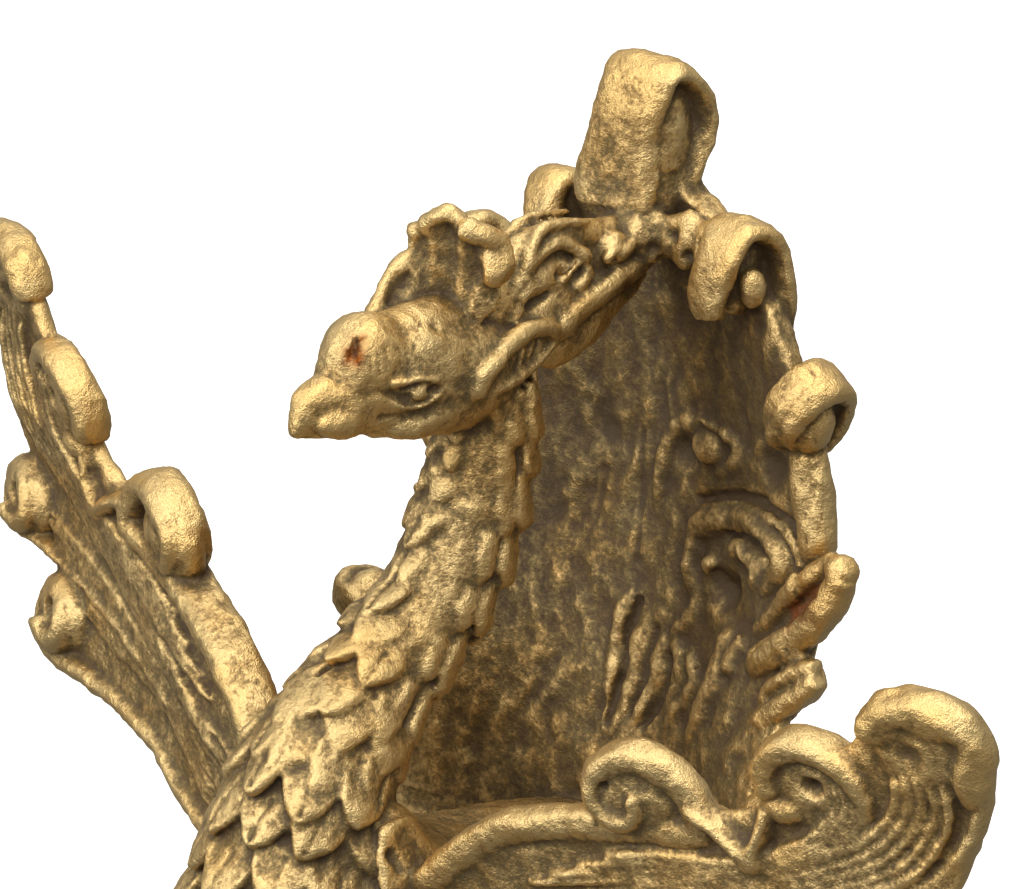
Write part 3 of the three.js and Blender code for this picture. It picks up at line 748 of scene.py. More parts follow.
rolls = {
    "nearBand": [  # x, y, z and half width of a band that climbs, turns over and ends in front
        (8.2, 13.3, 45.8, 1.0), (8.2, 13.3, 48.5, 1.25), (7.7, 13.1, 50.4, 1.45), (7.35, 12.3, 51.5, 1.6),
        (7.2, 11.3, 51.7, 1.6), (7.2, 10.5, 50.9, 1.5), (7.0, 10.1, 49.7, 1.4), (6.75, 9.9, 48.3, 1.25),
        (6.9, 9.9, 47.2, 0.95),
    ],
    "nearFilling": [((7.0, 11.8, 49.3), (0.9, 1.5, 2.4)), ((8.35, 11.4, 48.9), (0.75, 0.62, 1.1))],
    "turn": 410,
    "start": 230,
    "drawIn": 0.14,
    "thickness": 0.66,
    # each roll's centre, radius, squash, width and lean, then the ball that fills its eye
    "far": ((-6.9, 11.9, 47.8), 2.8, 0.58, 3.0, 14),
    "side": ((12.5, 11.2, 43.7), 2.9, 0.78, 3.0, 28),
    "sideFilling": ((12.9, 11.2, 43.3), (1.35, 1.35, 1.6)),
    "foot": ((16.2, 6.4, 24.6), 1.9, 0.8, 2.3, 80),
    "footFilling": ((16.0, 6.6, 24.0), (1.4, 1.6, 2.3)),
    "middleBand": [  # x, y, z and half width of the tall plume that climbs the back and comes down in front
        (0.2, 12.8, 50.6, 1.7), (0.2, 13.2, 52.3, 2.0), (-0.1, 14.1, 54.6, 2.35), (-0.2, 13.9, 56.3, 2.3),
        (-0.3, 13.1, 57.4, 2.3), (-0.4, 12.2, 57.7, 2.3), (-0.5, 11.5, 56.9, 2.2), (-0.65, 11.0, 55.4, 2.1),
        (-0.8, 10.8, 53.7, 2.25), (-0.95, 10.6, 52.0, 2.6), (-0.8, 10.4, 50.7, 2.4),
    ],
    "middleFilling": [
        ((-0.1, 12.5, 54.1), (1.85, 1.9, 3.5)), ((0.2, 12.2, 51.2), (1.6, 1.6, 2.8)),
        ((0, 11.2, 49.6), (2.2, 2.0, 1.5)),
    ],
    "saddle": [
        (-1.6, 10.7, 49.4), (0.6, 10.7, 49.6), (2.6, 11.3, 49.9), (4.4, 11.6, 50.0), (6.0, 11.4, 49.8),
    ],
    "saddlePits": [
        (0.8, 10.2, 50.2), (1.9, 10.6, 49.2), (3.0, 10.9, 50.1), (4.1, 11.1, 49.3), (2.4, 10.7, 48.5),
        (5.1, 11.0, 50.2),
    ],
}

# Grooved side plumes that point up and out: plates, each under a dull upper and a bright lower ridge

sidePlumes = {
    "upper": [  # points, half width and half thickness
        ([(10.6, 11.2, 29.9), (12.8, 10.8, 32.3), (14.7, 10.5, 34.3), (16.5, 10.4, 36.4)], 1.4, 0.6),
        ([(9.2, 11.2, 29.8), (11.9, 10.5, 33.0), (13.7, 10.0, 34.9), (16.2, 10.1, 37.4)], 0.55, 0.6),
        ([(9.9, 10.4, 28.8), (12.4, 9.8, 31.0), (14.7, 9.6, 33.0), (16.1, 9.6, 34.6), (17.2, 9.8, 36.8)],
         0.9, 0.85),
    ],
    "lower": [
        ([(12.0, 9.9, 27.6), (13.8, 9.6, 29.4), (15.8, 9.5, 31.2)], 1.15, 0.5),
        ([(10.3, 10.3, 28.7), (11.6, 9.7, 29.9), (13.3, 9.4, 31.1), (15.0, 9.3, 32.1)], 0.36, 0.45),
        ([(11.9, 9.4, 27.8), (13.0, 9.1, 29.4), (14.6, 9.0, 30.8), (16.2, 9.1, 31.9)], 0.45, 0.55),
        ([(12.3, 8.9, 27.3), (13.6, 8.6, 28.4), (15.1, 8.8, 29.8), (16.5, 8.9, 31.2)], 0.6, 0.65),
    ],
    "farReach": 0.88,  # the far ones are shorter, and the neck hides them
    "upperTip": (-14.8, 16.8),  # how far out the knob at the upper tip is: far, near
    "groove": [(11.2, 9.5, 30.8), (12.9, 9.4, 32.5), (14.4, 9.4, 34.0), (15.9, 9.3, 35.6)],
}


def fanPoint(side, t, rise):
    z, y, half, cup = smoothRow(fan["stations"], t)
    return Vector((side * half, y - cup * side * side - rise, z))


def fanAt(x, z, rise):  # a point on the fan's front by x and z
    height = fan["stations"][-1][0] - fan["stations"][0][0]
    t = clamped((z - fan["stations"][0][0]) / height)
    for _ in range(12):
        row = smoothRow(fan["stations"], t)
        t = clamped(t + (z - row[0]) / height)
    row = smoothRow(fan["stations"], t)
    side = x / row[2]
    return Vector((x, row[1] - row[3] * side * side - fan["half"] - rise, z))


def addRoll(metal, centre, radius, squash, width, lean):
    # A plume tip rolled forward about an axis that points out to the side.
    sign = 1 if centre[0] >= 0 else -1
    tilt = math.radians(lean)
    up = Vector((math.sin(tilt) * sign, 0, math.cos(tilt)))
    axis = up.cross(forward).normalized()
    count = 40
    points = []
    for i in range(count):
        swept = rolls["turn"] * i / (count - 1)
        size = radius * math.exp(-rolls["drawIn"] * math.radians(swept))
        angle = math.radians(rolls["start"] - swept)
        spot = Vector(centre) + forward * (size * squash * math.cos(angle))
        points.append(spot + up * (size * math.sin(angle)))
    widths = [width * 0.5 * mix(1.0, 0.8, i / (count - 1)) for i in range(count)]
    heights = [rolls["thickness"]] * count
    widths[-1] *= 0.6
    heights[-1] *= 0.6
    addRod(metal, points, widths, heights, axis, 12, 0.75)
    turn = Matrix((axis, forward, up)).transposed()
    addBall(metal, centre, (width * 0.34, radius * squash * 0.92, radius * 0.9), turn)


def addBand(metal, rows, count, half, wide, sides, square):
    line = [smoothRow(rows, i / (count - 1)) for i in range(count)]
    addRod(metal, [Vector(row[:3]) for row in line], [row[3] for row in line], half, wide, sides, square)


def addSidePlume(metal, sign, blades):
    reach = 1.0 if sign > 0 else -sidePlumes["farReach"]
    for rows, width, height in blades:
        line = smoothPath(mirrored(rows, reach), 20)
        addTapered(metal, line, width, height, (0.25, 0.75), Vector((sign, 0, -1)), 12, 0.85)


def addFanSide(metal, sign):
    edge = [fanPoint(sign * 0.96, mix(*fan["edgeSpan"], i / 19), 0.2) for i in range(20)]
    addTapered(metal, edge, 1.15, 0.95, (0.3, 0.3), sideways, 12)
    if sign > 0:
        addBand(metal, rolls["nearBand"], 30, 0.52, sideways, 12, 0.8)
        for centre, half in rolls["nearFilling"]:
            addBall(metal, centre, half)
    else:
        addRoll(metal, *rolls["far"])
    for name in ("side", "foot"):
        (x, y, z), *size = rolls[name]
        addRoll(metal, (x * sign, y, z), *size)
        (x, y, z), half = rolls[name + "Filling"]
        addBall(metal, (x * sign, y, z), half)
    addSidePlume(metal, sign, sidePlumes["upper"])
    addBall(metal, (sidePlumes["upperTip"][0 if sign < 0 else 1], 10.0, 37.0), (0.9, 0.8, 0.85))
    addSidePlume(metal, sign, sidePlumes["lower"])
    engrave(smoothPath(mirrored(sidePlumes["groove"], sign), 12), 0.5, 0.5)


def addFan(metal):
    def place(turn, t, spread):
        cosine = boxy(math.cos(turn * math.tau), 0.45) * spread
        sine = boxy(math.sin(turn * math.tau), 0.45) * spread
        return fanPoint(cosine, t, sine * fan["half"])

    addSkin(metal, place, 60, 72)
    for rows, half in fan["ridges"]:
        line = [fanAt(x, z, 0.0) for x, z in smoothPath(rows, 30)]
        sizes = tapered(half, 30, 0.3, 0.3)
        sizes = [size * (1.0 + 0.2 * noise.noise(point * 0.35)) for size, point in zip(sizes, line)]
        addRod(metal, line, [1.5 * size for size in sizes], sizes, sideways, 10)
    for rows, radius, depth in fan["grooves"]:
        engrave([fanAt(x, z, 0.0) for x, z in smoothPath(rows, 20)], radius, depth)
    for x, z, half in fan["knobs"]:
        addBall(metal, fanAt(x, z, 0.1), half)
    for x, z, radius, depth in fan["dips"]:
        cuts.append((fanAt(x, z, 0.0), radius, depth))
    for sign in (1, -1):
        addFanSide(metal, sign)
    addBand(metal, rolls["middleBand"], 40, 0.72, Vector((1, 0.2, 0)), 16, 1.0)
    for centre, half in rolls["middleFilling"]:
        addBall(metal, centre, half)
    # a rough saddle joins the tall plume to the next roll
    saddle = smoothPath(rolls["saddle"], 24)
    sizes = [0.65 * (1.0 + 0.4 * noise.noise(point * 1.3)) for point in saddle]
    addRod(metal, saddle, [size * 2.2 for size in sizes], sizes, Vector((0, 0.2, 1)), 12)
    cuts.extend((Vector(spot), 0.55, 0.45) for spot in rolls["saddlePits"])
    bumps.extend((Vector((2.3, 11.4 + 0.6 * k, 52.6 + 1.2 * k)), 0.5, 0.25) for k in range(3))


# Legs and base

stand = {
    "halfX": 14.9,
    "halfY": 12.4,
    "height": 3.3,
    "bevel": 0.9,
    "leg": [(4.4, -1.6, 12.4), (4.6, -0.4, 9.8), (4.7, 0.6, 7.6), (4.6, -0.2, 5.2), (4.6, -1.1, 3.0)],
    "legHalf": [3.0, 2.95, 2.8, 2.6, 2.35, 2.1, 1.9, 1.75, 1.6, 1.5, 1.45, 1.4, 1.4, 1.45, 1.5, 1.6],
    "heel": (4.6, -1.2, 3.7),
    "toes": ((-32, 4.2), (0, 4.2), (32, 4.2), (180, 2.4)),  # degrees round from the front, and length
    "toeHalf": 0.85,
}


def addStand(metal):
    height = stand["height"]
    made = bmesh.ops.create_cone(
        metal, cap_ends=True, segments=72, radius1=1.0, radius2=1.0, depth=height,
    )["verts"]
    bmesh.ops.scale(metal, vec=(stand["halfX"], stand["halfY"], 1.0), verts=made)
    bmesh.ops.translate(metal, vec=(0, 0, height / 2), verts=made)
    rim = [edge for edge in {e for v in made for e in v.link_edges} if all(v.co.z > 1.0 for v in edge.verts)]
    bmesh.ops.bevel(
        metal, geom=rim, offset=stand["bevel"], segments=4, profile=0.5, affect="EDGES", material=-1,
    )
    for sign in (1, -1):
        sizes = stand["legHalf"]
        addRod(metal, smoothPath(mirrored(stand["leg"], sign), len(sizes)), sizes, sizes, sideways, 18)
        x, y, z = stand["heel"]
        heel = Vector((x * sign, y, z))
        for degrees, reach in stand["toes"]:
            angle = math.radians(degrees)
            way = Vector((math.sin(angle), -math.cos(angle), 0))
            toe = [(0.0, 0.0), (0.35, 0.35), (0.7, 0.0), (1.0, -0.45)]  # along and up from the heel
            line = smoothPath([heel + way * (reach * along) + upward * lift for along, lift in toe], 12)
            addTapered(metal, line, stand["toeHalf"], stand["toeHalf"], (0.9, 0.25), upward, 10)
            for k in (3, 5, 7, 9):
                ring = [line[k] + Vector(shift) for shift in ((0.7, 0, 0.5), (0, 0, 0.8), (-0.7, 0, 0.5))]
                engrave(ring, 0.22, 0.12)


# Casting: everything joined into one skin

casting = {
    "voxel": 0.145,
    "triangles": 194000,
    # how deep the uneven skin, its dents and the furrows inside the fan are
    "grain": 0.06,
    "dents": 0.16,
    "furrows": 0.22,
}


def hidden(co, normal):  # true on the plain back of the tail, under the body and on the base
    back = normal.y > 0.3 and (co.y > 8.0 or abs(co.x) > 9.0)
    return co.z < 4.0 or back or (normal.z < -0.75 and co.z < 22.0)


def joined():
    core = bmesh.new()
    addTrunk(core)
    metal = bmesh.new()
    addTrunk(metal)
    addFeathers(metal, core)
    core.free()
    addHackles(metal)
    addHead(metal)
    addCrown(metal)
    addEarLeaves(metal)
    addCrest(metal)
    for sign in (1, -1):
        addWing(metal, sign)
    addFan(metal)
    addStand(metal)
    bmesh.ops.recalc_face_normals(metal, faces=metal.faces)
    print("carving laid out:", len(metal.faces), "faces")
    return metal


def applied(piece):  # the piece's mesh with its modifiers applied
    bpy.context.view_layer.update()
    mesh = bpy.data.meshes.new_from_object(piece.evaluated_get(bpy.context.evaluated_depsgraph_get()))
    old = piece.data
    piece.modifiers.clear()
    piece.data = mesh
    bpy.data.meshes.remove(old)
    return mesh


def marked(mesh, marks, way):
    # Moves the points near each mark in or out, the strongest mark winning.
    tree = KDTree(len(mesh.vertices))
    for vert in mesh.vertices:
        tree.insert(vert.co, vert.index)
    tree.balance()
    moves = {}
    for spot, radius, depth in marks:
        for _, index, distance in tree.find_range(spot, radius):
            part = 1 - (distance / radius) ** 2
            moves[index] = max(moves.get(index, 0.0), depth * part * part)
    normals = [mesh.vertices[i].normal.copy() for i in moves]
    for (index, depth), normal in zip(moves.items(), normals):
        mesh.vertices[index].co += normal * (depth * way)


def grained(mesh):
    # Uneven cast skin with shallow dents, and long bark-like furrows inside the fan.
    grain = casting["grain"]
    apart = Vector((17.0, 5.0, 9.0))  # far enough for a second noise unlike the first
    shifts = []
    for vert in mesh.vertices:
        co = vert.co
        if co.z < 0.4:
            shifts.append(0.0)
            continue
        move = noise.noise(co * 1.15) * grain + noise.noise(co * 2.7) * grain * 0.7
        if vert.normal.y < -0.35 and co.y > 5.2 and 15.5 < co.z < 47.5 and abs(co.x) < 14.0:
            bent = co.x + 1.6 * noise.noise(co * 0.22) + 0.5 * noise.noise(co * 0.7)
            long = Vector((bent * 0.85, co.y * 0.4, co.z * 0.34))
            move += casting["furrows"] * noise.noise(long)
            move += 0.10 * noise.noise(co * 0.8) + 0.04 * noise.noise(co * 2.6)
        else:
            warp = co + Vector((noise.noise(co * 0.6), noise.noise(co * 0.6 + apart), 0.0)) * 0.8
            near = noise.voronoi(warp * 0.62)[0][0]
            move += (near * near - 0.22) * casting["dents"]
        shifts.append(move)
    for vert, move, normal in zip(mesh.vertices, shifts, [v.normal.copy() for v in mesh.vertices]):
        vert.co += normal * move


# Wear and painted shade: what the brass's tone follows

wearAndShade = {
    "stains": [  # x, y, z and radius of the reddish spots
        (1.25, -8.1, 48.25, 0.85), (1.1, -7.75, 48.85, 0.7), (15.4, 9.6, 34.6, 1.3), (14.0, 9.8, 33.4, 1.2),
        (-1.8, 10.2, 50.0, 0.8), (1.7, 8.8, 47.6, 0.6), (2.2, -0.6, 48.6, 0.6), (0.3, -8.9, 44.0, 0.7),
    ],
    "shadeAndToneSpots": [  # x, y, z, radius and change: above 0 darker, below 0 lighter. The first four are painted shade down the neck's unlit far edge, with patina
        (-1.8, -0.9, 40.5, 2.8, 0.8), (-2.4, -3.2, 36.8, 3.0, 0.8), (-2.8, -6.4, 33.2, 3.2, 0.7),
        (-3.2, -9.6, 29.5, 3.2, 0.6), (-0.3, -11.0, 45.2, 0.8, 0.4), (2.8, -2.3, 45.8, 1.0, 0.4),
        (-1.0, 10.5, 54.0, 4.5, 0.25), (13.0, 10.0, 44.0, 4.0, 0.3), (-12.5, -5.5, 27.0, 8.0, 0.3),
        (-6.0, 12.0, 36.0, 7.0, 0.15), (2.0, -14.0, 24.0, 6.0, 0.2), (1.0, -5.5, 48.5, 4.0, -0.2),
        (1.5, 6.0, 48.0, 5.0, -0.3), (13.0, -7.0, 27.0, 7.0, -0.3), (31.0, 2.0, 36.0, 7.0, -0.15),
        (4.0, 9.0, 23.0, 6.0, -0.2), (1.5, 12.4, 53.6, 2.4, -0.35),
    ],
    "tailPatinaAndShade": 0.58,  # painted shade over the inside of the tail, together with patina where it was never polished
    "rays": 18,  # looked along from each point
    "occlusionReach": 9.0,  # metal further off casts no occlusion shade
}


def nearness(co, spot):  # 1 at the middle of a spot of x, y, z and radius, 0 from its edge outward
    return max(0.0, 1.0 - (co - Vector(spot[:3])).length_squared / spot[3] ** 2)


def tailPatinaAndShade(co, normal):  # painted shade with patina: about 1 on the front of the fan and its far edge, more in a pocket high on each side, 0 elsewhere
    if co.y < 4.8 or co.z < 14.5:
        return 0.0
    if co.x < -13.0:
        return 0.9
    if 43.0 < co.z < 47.6 and 8.0 < abs(co.x) < 11.6 and co.y > 10.4:
        return 1.2
    facing = clamped((-normal.y - 0.15) / 0.5)
    edge = clamped((13.0 - abs(co.x)) / 2.2)
    high = clamped((51.0 - co.z) / 7.0) * clamped((co.z - 17.0) / 10.0)
    return facing * edge * high


def occlusionShade(mesh, points, normals):  # how much of each point's view is filled by metal close by: occlusion that darkens the colour as painted shade
    tree = BVHTree.FromPolygons(points, [tuple(face.vertices) for face in mesh.polygons])
    rays = wearAndShade["rays"]
    reach = wearAndShade["occlusionReach"]
    goldenAngle = 2.399963
    ways = []
    for i in range(rays):
        # evenly spread over a ball, each a golden angle from the last
        z = 1 - (2 * i + 1) / rays
        ring = math.sqrt(1 - z * z)
        ways.append(Vector((ring * math.cos(i * goldenAngle), ring * math.sin(i * goldenAngle), z)))
    shelterAndShade = []
    for co, normal in zip(points, normals):
        met = 0.0
        total = 0.0
        for way in ways:
            facing = way.dot(normal)
            if facing <= 0.08:
                continue
            total += facing
            hit = tree.ray_cast(co + normal * 0.05, way, reach)
            if hit[0] is not None:
                met += facing * (1 - hit[3] / reach * 0.6)
        shelterAndShade.append(met / max(total, 0.001))
    return shelterAndShade


def worn(mesh):
    # Kept for each point of the skin: how hollow, how enclosed by metal close by, which darkens it as painted
    # shade besides sheltered patina, and how rusty it is.
    work = bmesh.new()
    work.from_mesh(mesh)
    points = [vert.co.copy() for vert in work.verts]
    normals = [vert.normal.copy() for vert in work.verts]

    def sunk(rounds, factor):  # how far each point lies below the skin after that much smoothing
        for _ in range(rounds):
            bmesh.ops.smooth_vert(
                work, verts=work.verts, factor=factor, use_axis_x=True, use_axis_y=True, use_axis_z=True,
            )
        return [(vert.co - co).dot(normal) for vert, co, normal in zip(work.verts, points, normals)]

    fine = sunk(4, 0.6)
    broad = sunk(16, 0.7)
    work.free()
    hollow = [0.5 + f * 3.2 + b * 1.1 for f, b in zip(fine, broad)]
    shelterAndShade = []
    # painted shade: occlusion by metal close by darkens the colour, together with patina
    for base, co, normal in zip(occlusionShade(mesh, points, normals), points, normals):
        # painted shade in some listed spots, made lighter in others
        change = sum(spot[4] * nearness(co, spot) for spot in wearAndShade["shadeAndToneSpots"])
        shelterAndShade.append(base + wearAndShade["tailPatinaAndShade"] * tailPatinaAndShade(co, normal) + change)
    rust = []
    for co in points:
        rust.append(max(nearness(co, spot) for spot in wearAndShade["stains"]) * (1.0 + 0.9 * noise.noise(co * 3.1)))
    for name, values in (("hollow", hollow), ("shelterAndShade", shelterAndShade), ("rust", rust)):
        layer = mesh.attributes.new(name, "FLOAT", "POINT")
        layer.data.foreach_set("value", [clamped(value) for value in values])
    print("wear measured on", len(points), "points")


def makeFigure():
    metal = joined()
    mesh = bpy.data.meshes.new("phoenixCasting")
    metal.to_mesh(mesh)
    metal.free()
    figure = bpy.data.objects.new("phoenixCasting", mesh)
    bpy.context.scene.collection.objects.link(figure)
    remesh = figure.modifiers.new("oneSkin", "REMESH")
    remesh.mode = "VOXEL"
    remesh.voxel_size = casting["voxel"]
    remesh.adaptivity = 0.0
    soften = figure.modifiers.new("soften", "SMOOTH")
    soften.factor = 0.5
    soften.iterations = 1
    mesh = applied(figure)
    print("one skin:", len(mesh.vertices), "points")
    marked(mesh, cuts, -1)
    marked(mesh, bumps, 1)
    grained(mesh)
    soften = figure.modifiers.new("soften", "SMOOTH")
    soften.factor = 0.25
    soften.iterations = 1
    # the plain sides nobody looks at give up their points first
    unseen = [vert.index for vert in mesh.vertices if hidden(vert.co, vert.normal)]
    figure.vertex_groups.new(name="unseen").add(unseen, 1.0, "REPLACE")
    back = figure.modifiers.new("thinBack", "DECIMATE")
    back.vertex_group = "unseen"
    back.ratio = 1.0 - len(unseen) / len(mesh.vertices) * 0.9
    thin = figure.modifiers.new("thin", "DECIMATE")
    faces = sum(len(face.vertices) - 2 for face in mesh.polygons)
    thin.ratio = min(1.0, casting["triangles"] / (faces * back.ratio))
    mesh = applied(figure)
    figure.vertex_groups.clear()
    for vert in mesh.vertices:
        if vert.co.z < 0.22:
            vert.co.z = 0.0
    worn(mesh)
    mesh.transform(Matrix.Diagonal((millimetre, millimetre, millimetre, 1.0)))
    for face in mesh.polygons:
        face.use_smooth = True
    mesh.update()
    print("figure:", sum(len(face.vertices) - 2 for face in mesh.polygons), "triangles")
    return figure


figure = makeFigure()


# Materials

def hexColour(text):  # sRGB hex to linear
    parts = [int(text[i:i + 2], 16) / 255 for i in (1, 3, 5)]
    return [p / 12.92 if p <= 0.04045 else ((p + 0.055) / 1.055) ** 2.4 for p in parts] + [1.0]


def grey(value):
    return [value, value, value, 1.0]


def perMetre(size):  # how often a pattern of this size in millimetres repeats
    return 1.0 / (size * millimetre)


def node(tree, kind, sockets=None, settings=None, stops=None):
    # Adds a node. A socket, by name or number, takes a value or another node's output; stops fill a ramp.
    made = tree.nodes.new(kind)
    for name, value in (settings or {}).items():
        setattr(made, name, value)
    for name, value in (sockets or {}).items():
        if isinstance(value, bpy.types.NodeSocket):
            tree.links.new(value, made.inputs[name])
        else:
            made.inputs[name].default_value = value
    if stops:
        elements = made.color_ramp.elements
        while len(elements) < len(stops):
            elements.new(0.5)
        for element, (place, colour) in zip(elements, stops):
            element.position = place
            element.color = colour
    return made


brassLook = {
    "worn": "#DDBE82",
    "skin": "#AE9160",
    "warm": "#B58A4A",
    "dull": "#82704A",
    "dark": "#6A573A",
    "recess": "#54432B",
    "rust": "#85481C",
    # size in millimetres, detail and roughness of each cloudy pattern
    "patches": (4.7619048, 2.0, 0.5),
    "mottle": (2.0833333, 4.0, 0.6),
    "specks": (0.23809524, 3.0, 0.65),
    "grain": (0.09090909, 2.0, 0.6),
    # millimetres
    "pits": 0.8,
    "pitDepth": 0.3,
    "grainDepth": 0.14,
}


def agedBrass():
    # Cast brass, chemically darkened and rubbed back: gold on the high edges, olive brown in the hollows.
    # Parts enclosed by metal close by are darkened further as painted shade.
    material = bpy.data.materials.new("agedCastBrass")
    material.use_nodes = True
    tree = material.node_tree
    tree.nodes.clear()
    place = node(tree, "ShaderNodeTexCoord").outputs["Object"]
    hollow, shelterAndShade, rusty = (
        node(tree, "ShaderNodeAttribute", None, {"attribute_name": name}).outputs["Fac"]
        for name in ("hollow", "shelterAndShade", "rust")
    )
    patches, mottle, specks, grain = (
        node(tree, "ShaderNodeTexNoise", {
            "Vector": place, "Scale": perMetre(brassLook[name][0]), "Detail": brassLook[name][1],
            "Roughness": brassLook[name][2],
        }).outputs["Fac"]
        for name in ("patches", "mottle", "specks", "grain")
    )
    pits = node(tree, "ShaderNodeTexVoronoi", {
        "Vector": place, "Scale": perMetre(brassLook["pits"]), "Randomness": 1.0,
    }, {"feature": "F1"}).outputs["Distance"]

    # patina and painted shade from 0 to 1: more where it is hollow, or enclosed and shaded by metal close by,
    # less on the skin between two pits
    weigh = {"operation": "MULTIPLY_ADD"}  # the first socket times the second, plus the third
    value = node(tree, "ShaderNodeMath", {0: hollow, 1: 1.15, 2: -0.27}, weigh).outputs[0]
    value = node(tree, "ShaderNodeMath", {0: shelterAndShade, 1: 0.62, 2: value}, weigh).outputs[0]
    value = node(tree, "ShaderNodeMath", {0: pits, 1: -0.16, 2: value}, weigh).outputs[0]
    # the mottling is strong on the open parts and calm where the painted shade and patina are deep
    uneven = node(tree, "ShaderNodeMath", {0: mottle, 1: 0.4, 2: -0.85}, weigh).outputs[0]
    uneven = node(tree, "ShaderNodeMath", {0: specks, 1: 1.3, 2: uneven}, weigh).outputs[0]
    calm = node(tree, "ShaderNodeMapRange", {
        "Value": shelterAndShade, "From Min": 0.6, "To Min": 1.0, "To Max": 0.4,
    }).outputs["Result"]
    value = node(tree, "ShaderNodeMath", {0: uneven, 1: calm, 2: value}, weigh).outputs[0]
    patinaAndShade = node(tree, "ShaderNodeClamp", {"Value": value}).outputs["Result"]

    # the darkest stops hold patina and also painted shade where metal close by encloses the surface
    tones = [(0.0, "worn"), (0.24, "skin"), (0.48, "dull"), (0.74, "dark"), (1.0, "recess")]
    tones = [(spot, hexColour(brassLook[name])) for spot, name in tones]
    colour = node(tree, "ShaderNodeValToRGB", {"Fac": patinaAndShade}, stops=tones).outputs["Color"]
    # broad warm patches between the olive ones; a mix takes its colours at sockets 6 and 7
    patch = node(tree, "ShaderNodeMapRange", {
        "Value": patches, "From Min": 0.48, "From Max": 0.62, "To Max": 0.35,
    }).outputs["Result"]
    tint = [a / b for a, b in zip(hexColour(brassLook["warm"]), hexColour(brassLook["skin"]))]
    multiply = {"data_type": "RGBA", "blend_type": "MULTIPLY"}
    warmed = node(tree, "ShaderNodeMix", {"Factor": patch, 6: colour, 7: tint}, multiply).outputs[2]
    rust = {"Factor": rusty, 6: warmed, 7: hexColour(brassLook["rust"])}
    stained = node(tree, "ShaderNodeMix", rust, {"data_type": "RGBA"}).outputs[2]

    # the patina is rougher than the metal and hides most of its mirror
    rough = [(0.0, grey(0.41)), (0.45, grey(0.52)), (1.0, grey(0.7))]
    bare = [(0.0, grey(1.0)), (0.45, grey(0.85)), (1.0, grey(0.3))]
    relief = node(tree, "ShaderNodeMath", {0: grain, 1: 0.6, 2: specks}, weigh).outputs[0]
    pitted = node(tree, "ShaderNodeBump", {
        "Height": pits, "Strength": 0.25, "Distance": brassLook["pitDepth"] * millimetre,
    })
    bumpy = node(tree, "ShaderNodeBump", {
        "Height": relief, "Normal": pitted.outputs["Normal"], "Strength": 0.55,
        "Distance": brassLook["grainDepth"] * millimetre,
    })
    shader = node(tree, "ShaderNodeBsdfPrincipled", {
        "Base Color": stained,
        "Roughness": node(tree, "ShaderNodeValToRGB", {"Fac": patinaAndShade}, stops=rough).outputs["Color"],
        "Metallic": node(tree, "ShaderNodeValToRGB", {"Fac": patinaAndShade}, stops=bare).outputs["Color"],
        "Normal": bumpy.outputs["Normal"],
    })
    node(tree, "ShaderNodeOutputMaterial", {"Surface": shader.outputs["BSDF"]})
    return material


figure.data.materials.clear()
figure.data.materials.append(agedBrass())
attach(figure, "root")
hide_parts("phoenix_figure")
print("brass laid on")


# Floor, light and camera

studio = {
    "floor": "#F4F3F1",
    "floorGlow": 0.5,
    "azimuth": 50.0,
    "elevation": 24.0,
    "distance": 0.320,
    "lens": 225.0,
    "aim": Vector((0.0, 0.003, 0.040)),
    "lights": {  # place, size and energy
        "softboxHigh": ((0.20, -0.24, 0.42), 0.26, 1.05),
        "overhead": ((-0.06, 0.06, 0.48), 0.30, 0.85),
        "fillFront": ((-0.16, -0.42, 0.16), 0.25, 1.0),
    },
    "lightAim": Vector((0, 0, 0.03)),
    "sky": [(0.0, 0.25), (0.45, 0.32), (0.62, 0.55), (0.85, 1.0)],  # height and brightness
    "skyStrength": 0.76,
}


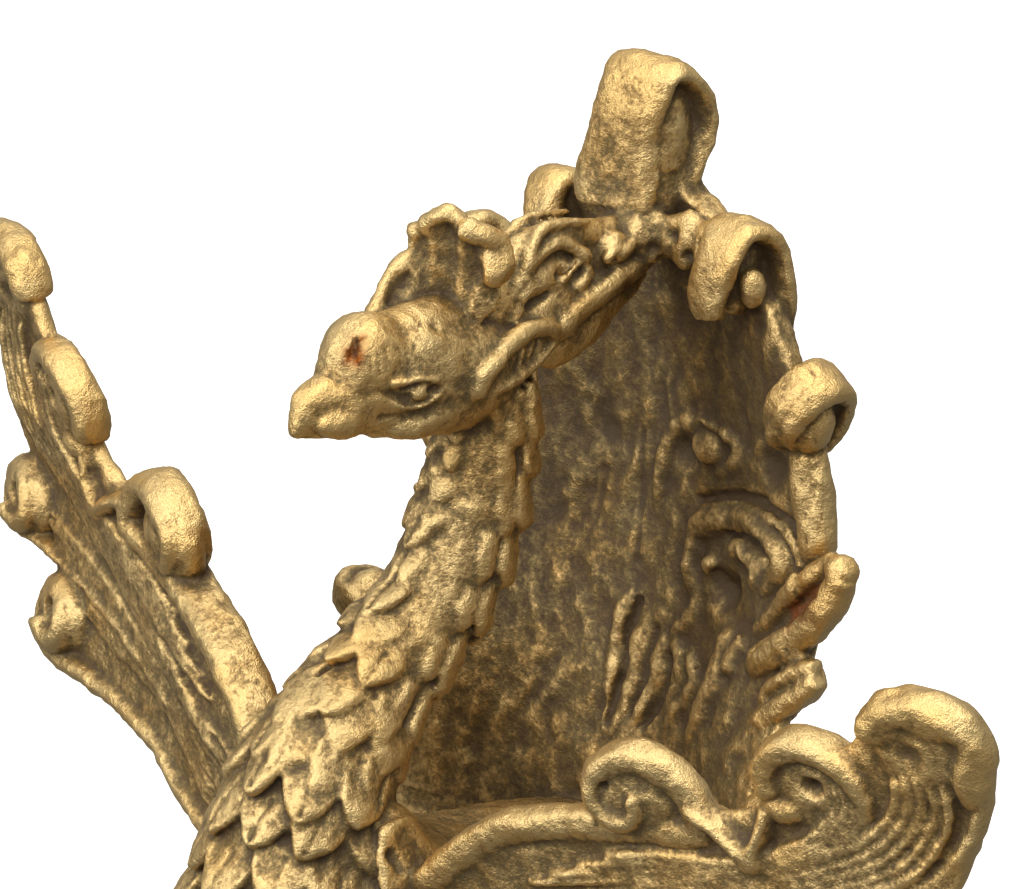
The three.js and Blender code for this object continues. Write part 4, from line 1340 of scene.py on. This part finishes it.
def addFloor():
    made = bmesh.new()
    bmesh.ops.create_grid(made, x_segments=2, y_segments=2, size=1.5)
    mesh = bpy.data.meshes.new("paleFloor")
    made.to_mesh(mesh)
    made.free()
    floor = bpy.data.objects.new("paleFloor", mesh)
    bpy.context.scene.collection.objects.link(floor)
    material = bpy.data.materials.new("mattePaper")  # plain matte white paper
    material.use_nodes = True
    shader = material.node_tree.nodes["Principled BSDF"]
    shader.inputs["Base Color"].default_value = hexColour(studio["floor"])
    shader.inputs["Roughness"].default_value = 0.9
    shader.inputs["Emission Color"].default_value = hexColour(studio["floor"])
    shader.inputs["Emission Strength"].default_value = studio["floorGlow"]
    mesh.materials.append(material)
    # the paper is seen and takes the shadow, but throws no light up at the brass
    floor.visible_diffuse = False
    floor.visible_glossy = False


def addLights():
    for name, (place, size, energy) in studio["lights"].items():
        light = bpy.data.lights.new(name, "AREA")
        light.shape = "DISK"
        light.size = size
        light.energy = energy
        lamp = bpy.data.objects.new(name, light)
        lamp.location = place
        lamp.rotation_euler = (studio["lightAim"] - Vector(place)).to_track_quat("-Z", "Y").to_euler()
        bpy.context.scene.collection.objects.link(lamp)


def addSky():
    world = bpy.data.worlds.new("studioAir")  # bright ceiling, dim walls, dark below
    world.use_nodes = True
    tree = world.node_tree
    place = node(tree, "ShaderNodeTexCoord").outputs["Generated"]
    height = node(tree, "ShaderNodeSeparateXYZ", {"Vector": place}).outputs["Z"]
    level = node(tree, "ShaderNodeMapRange", {"Value": height, "From Min": -1.0}).outputs["Result"]
    stops = [(spot, grey(bright)) for spot, bright in studio["sky"]]
    shade = node(tree, "ShaderNodeValToRGB", {"Fac": level}, stops=stops).outputs["Color"]
    tree.links.new(shade, tree.nodes["Background"].inputs["Color"])
    tree.nodes["Background"].inputs["Strength"].default_value = studio["skyStrength"]
    bpy.context.scene.world = world
    bpy.context.scene.view_settings.view_transform = "Standard"


def addCamera():
    turn = math.radians(studio["azimuth"])
    rise = math.radians(studio["elevation"])
    toward = Vector((math.sin(turn) * math.cos(rise), -math.cos(turn) * math.cos(rise), math.sin(rise)))
    right = Vector((math.cos(turn), math.sin(turn), 0))
    axes = Matrix((right, toward.cross(right), toward)).transposed().to_4x4()
    camera = bpy.data.cameras.new("photoCamera")
    camera.lens = studio["lens"]
    camera.sensor_width = 36.0
    camera.clip_start = 0.01
    camera.clip_end = 10.0
    holder = bpy.data.objects.new("photoCamera", camera)
    holder.matrix_world = Matrix.Translation(studio["aim"] + toward * studio["distance"]) @ axes
    bpy.context.scene.collection.objects.link(holder)
    bpy.context.scene.camera = holder


addFloor()
addLights()
addSky()
addCamera()
print("studio set")
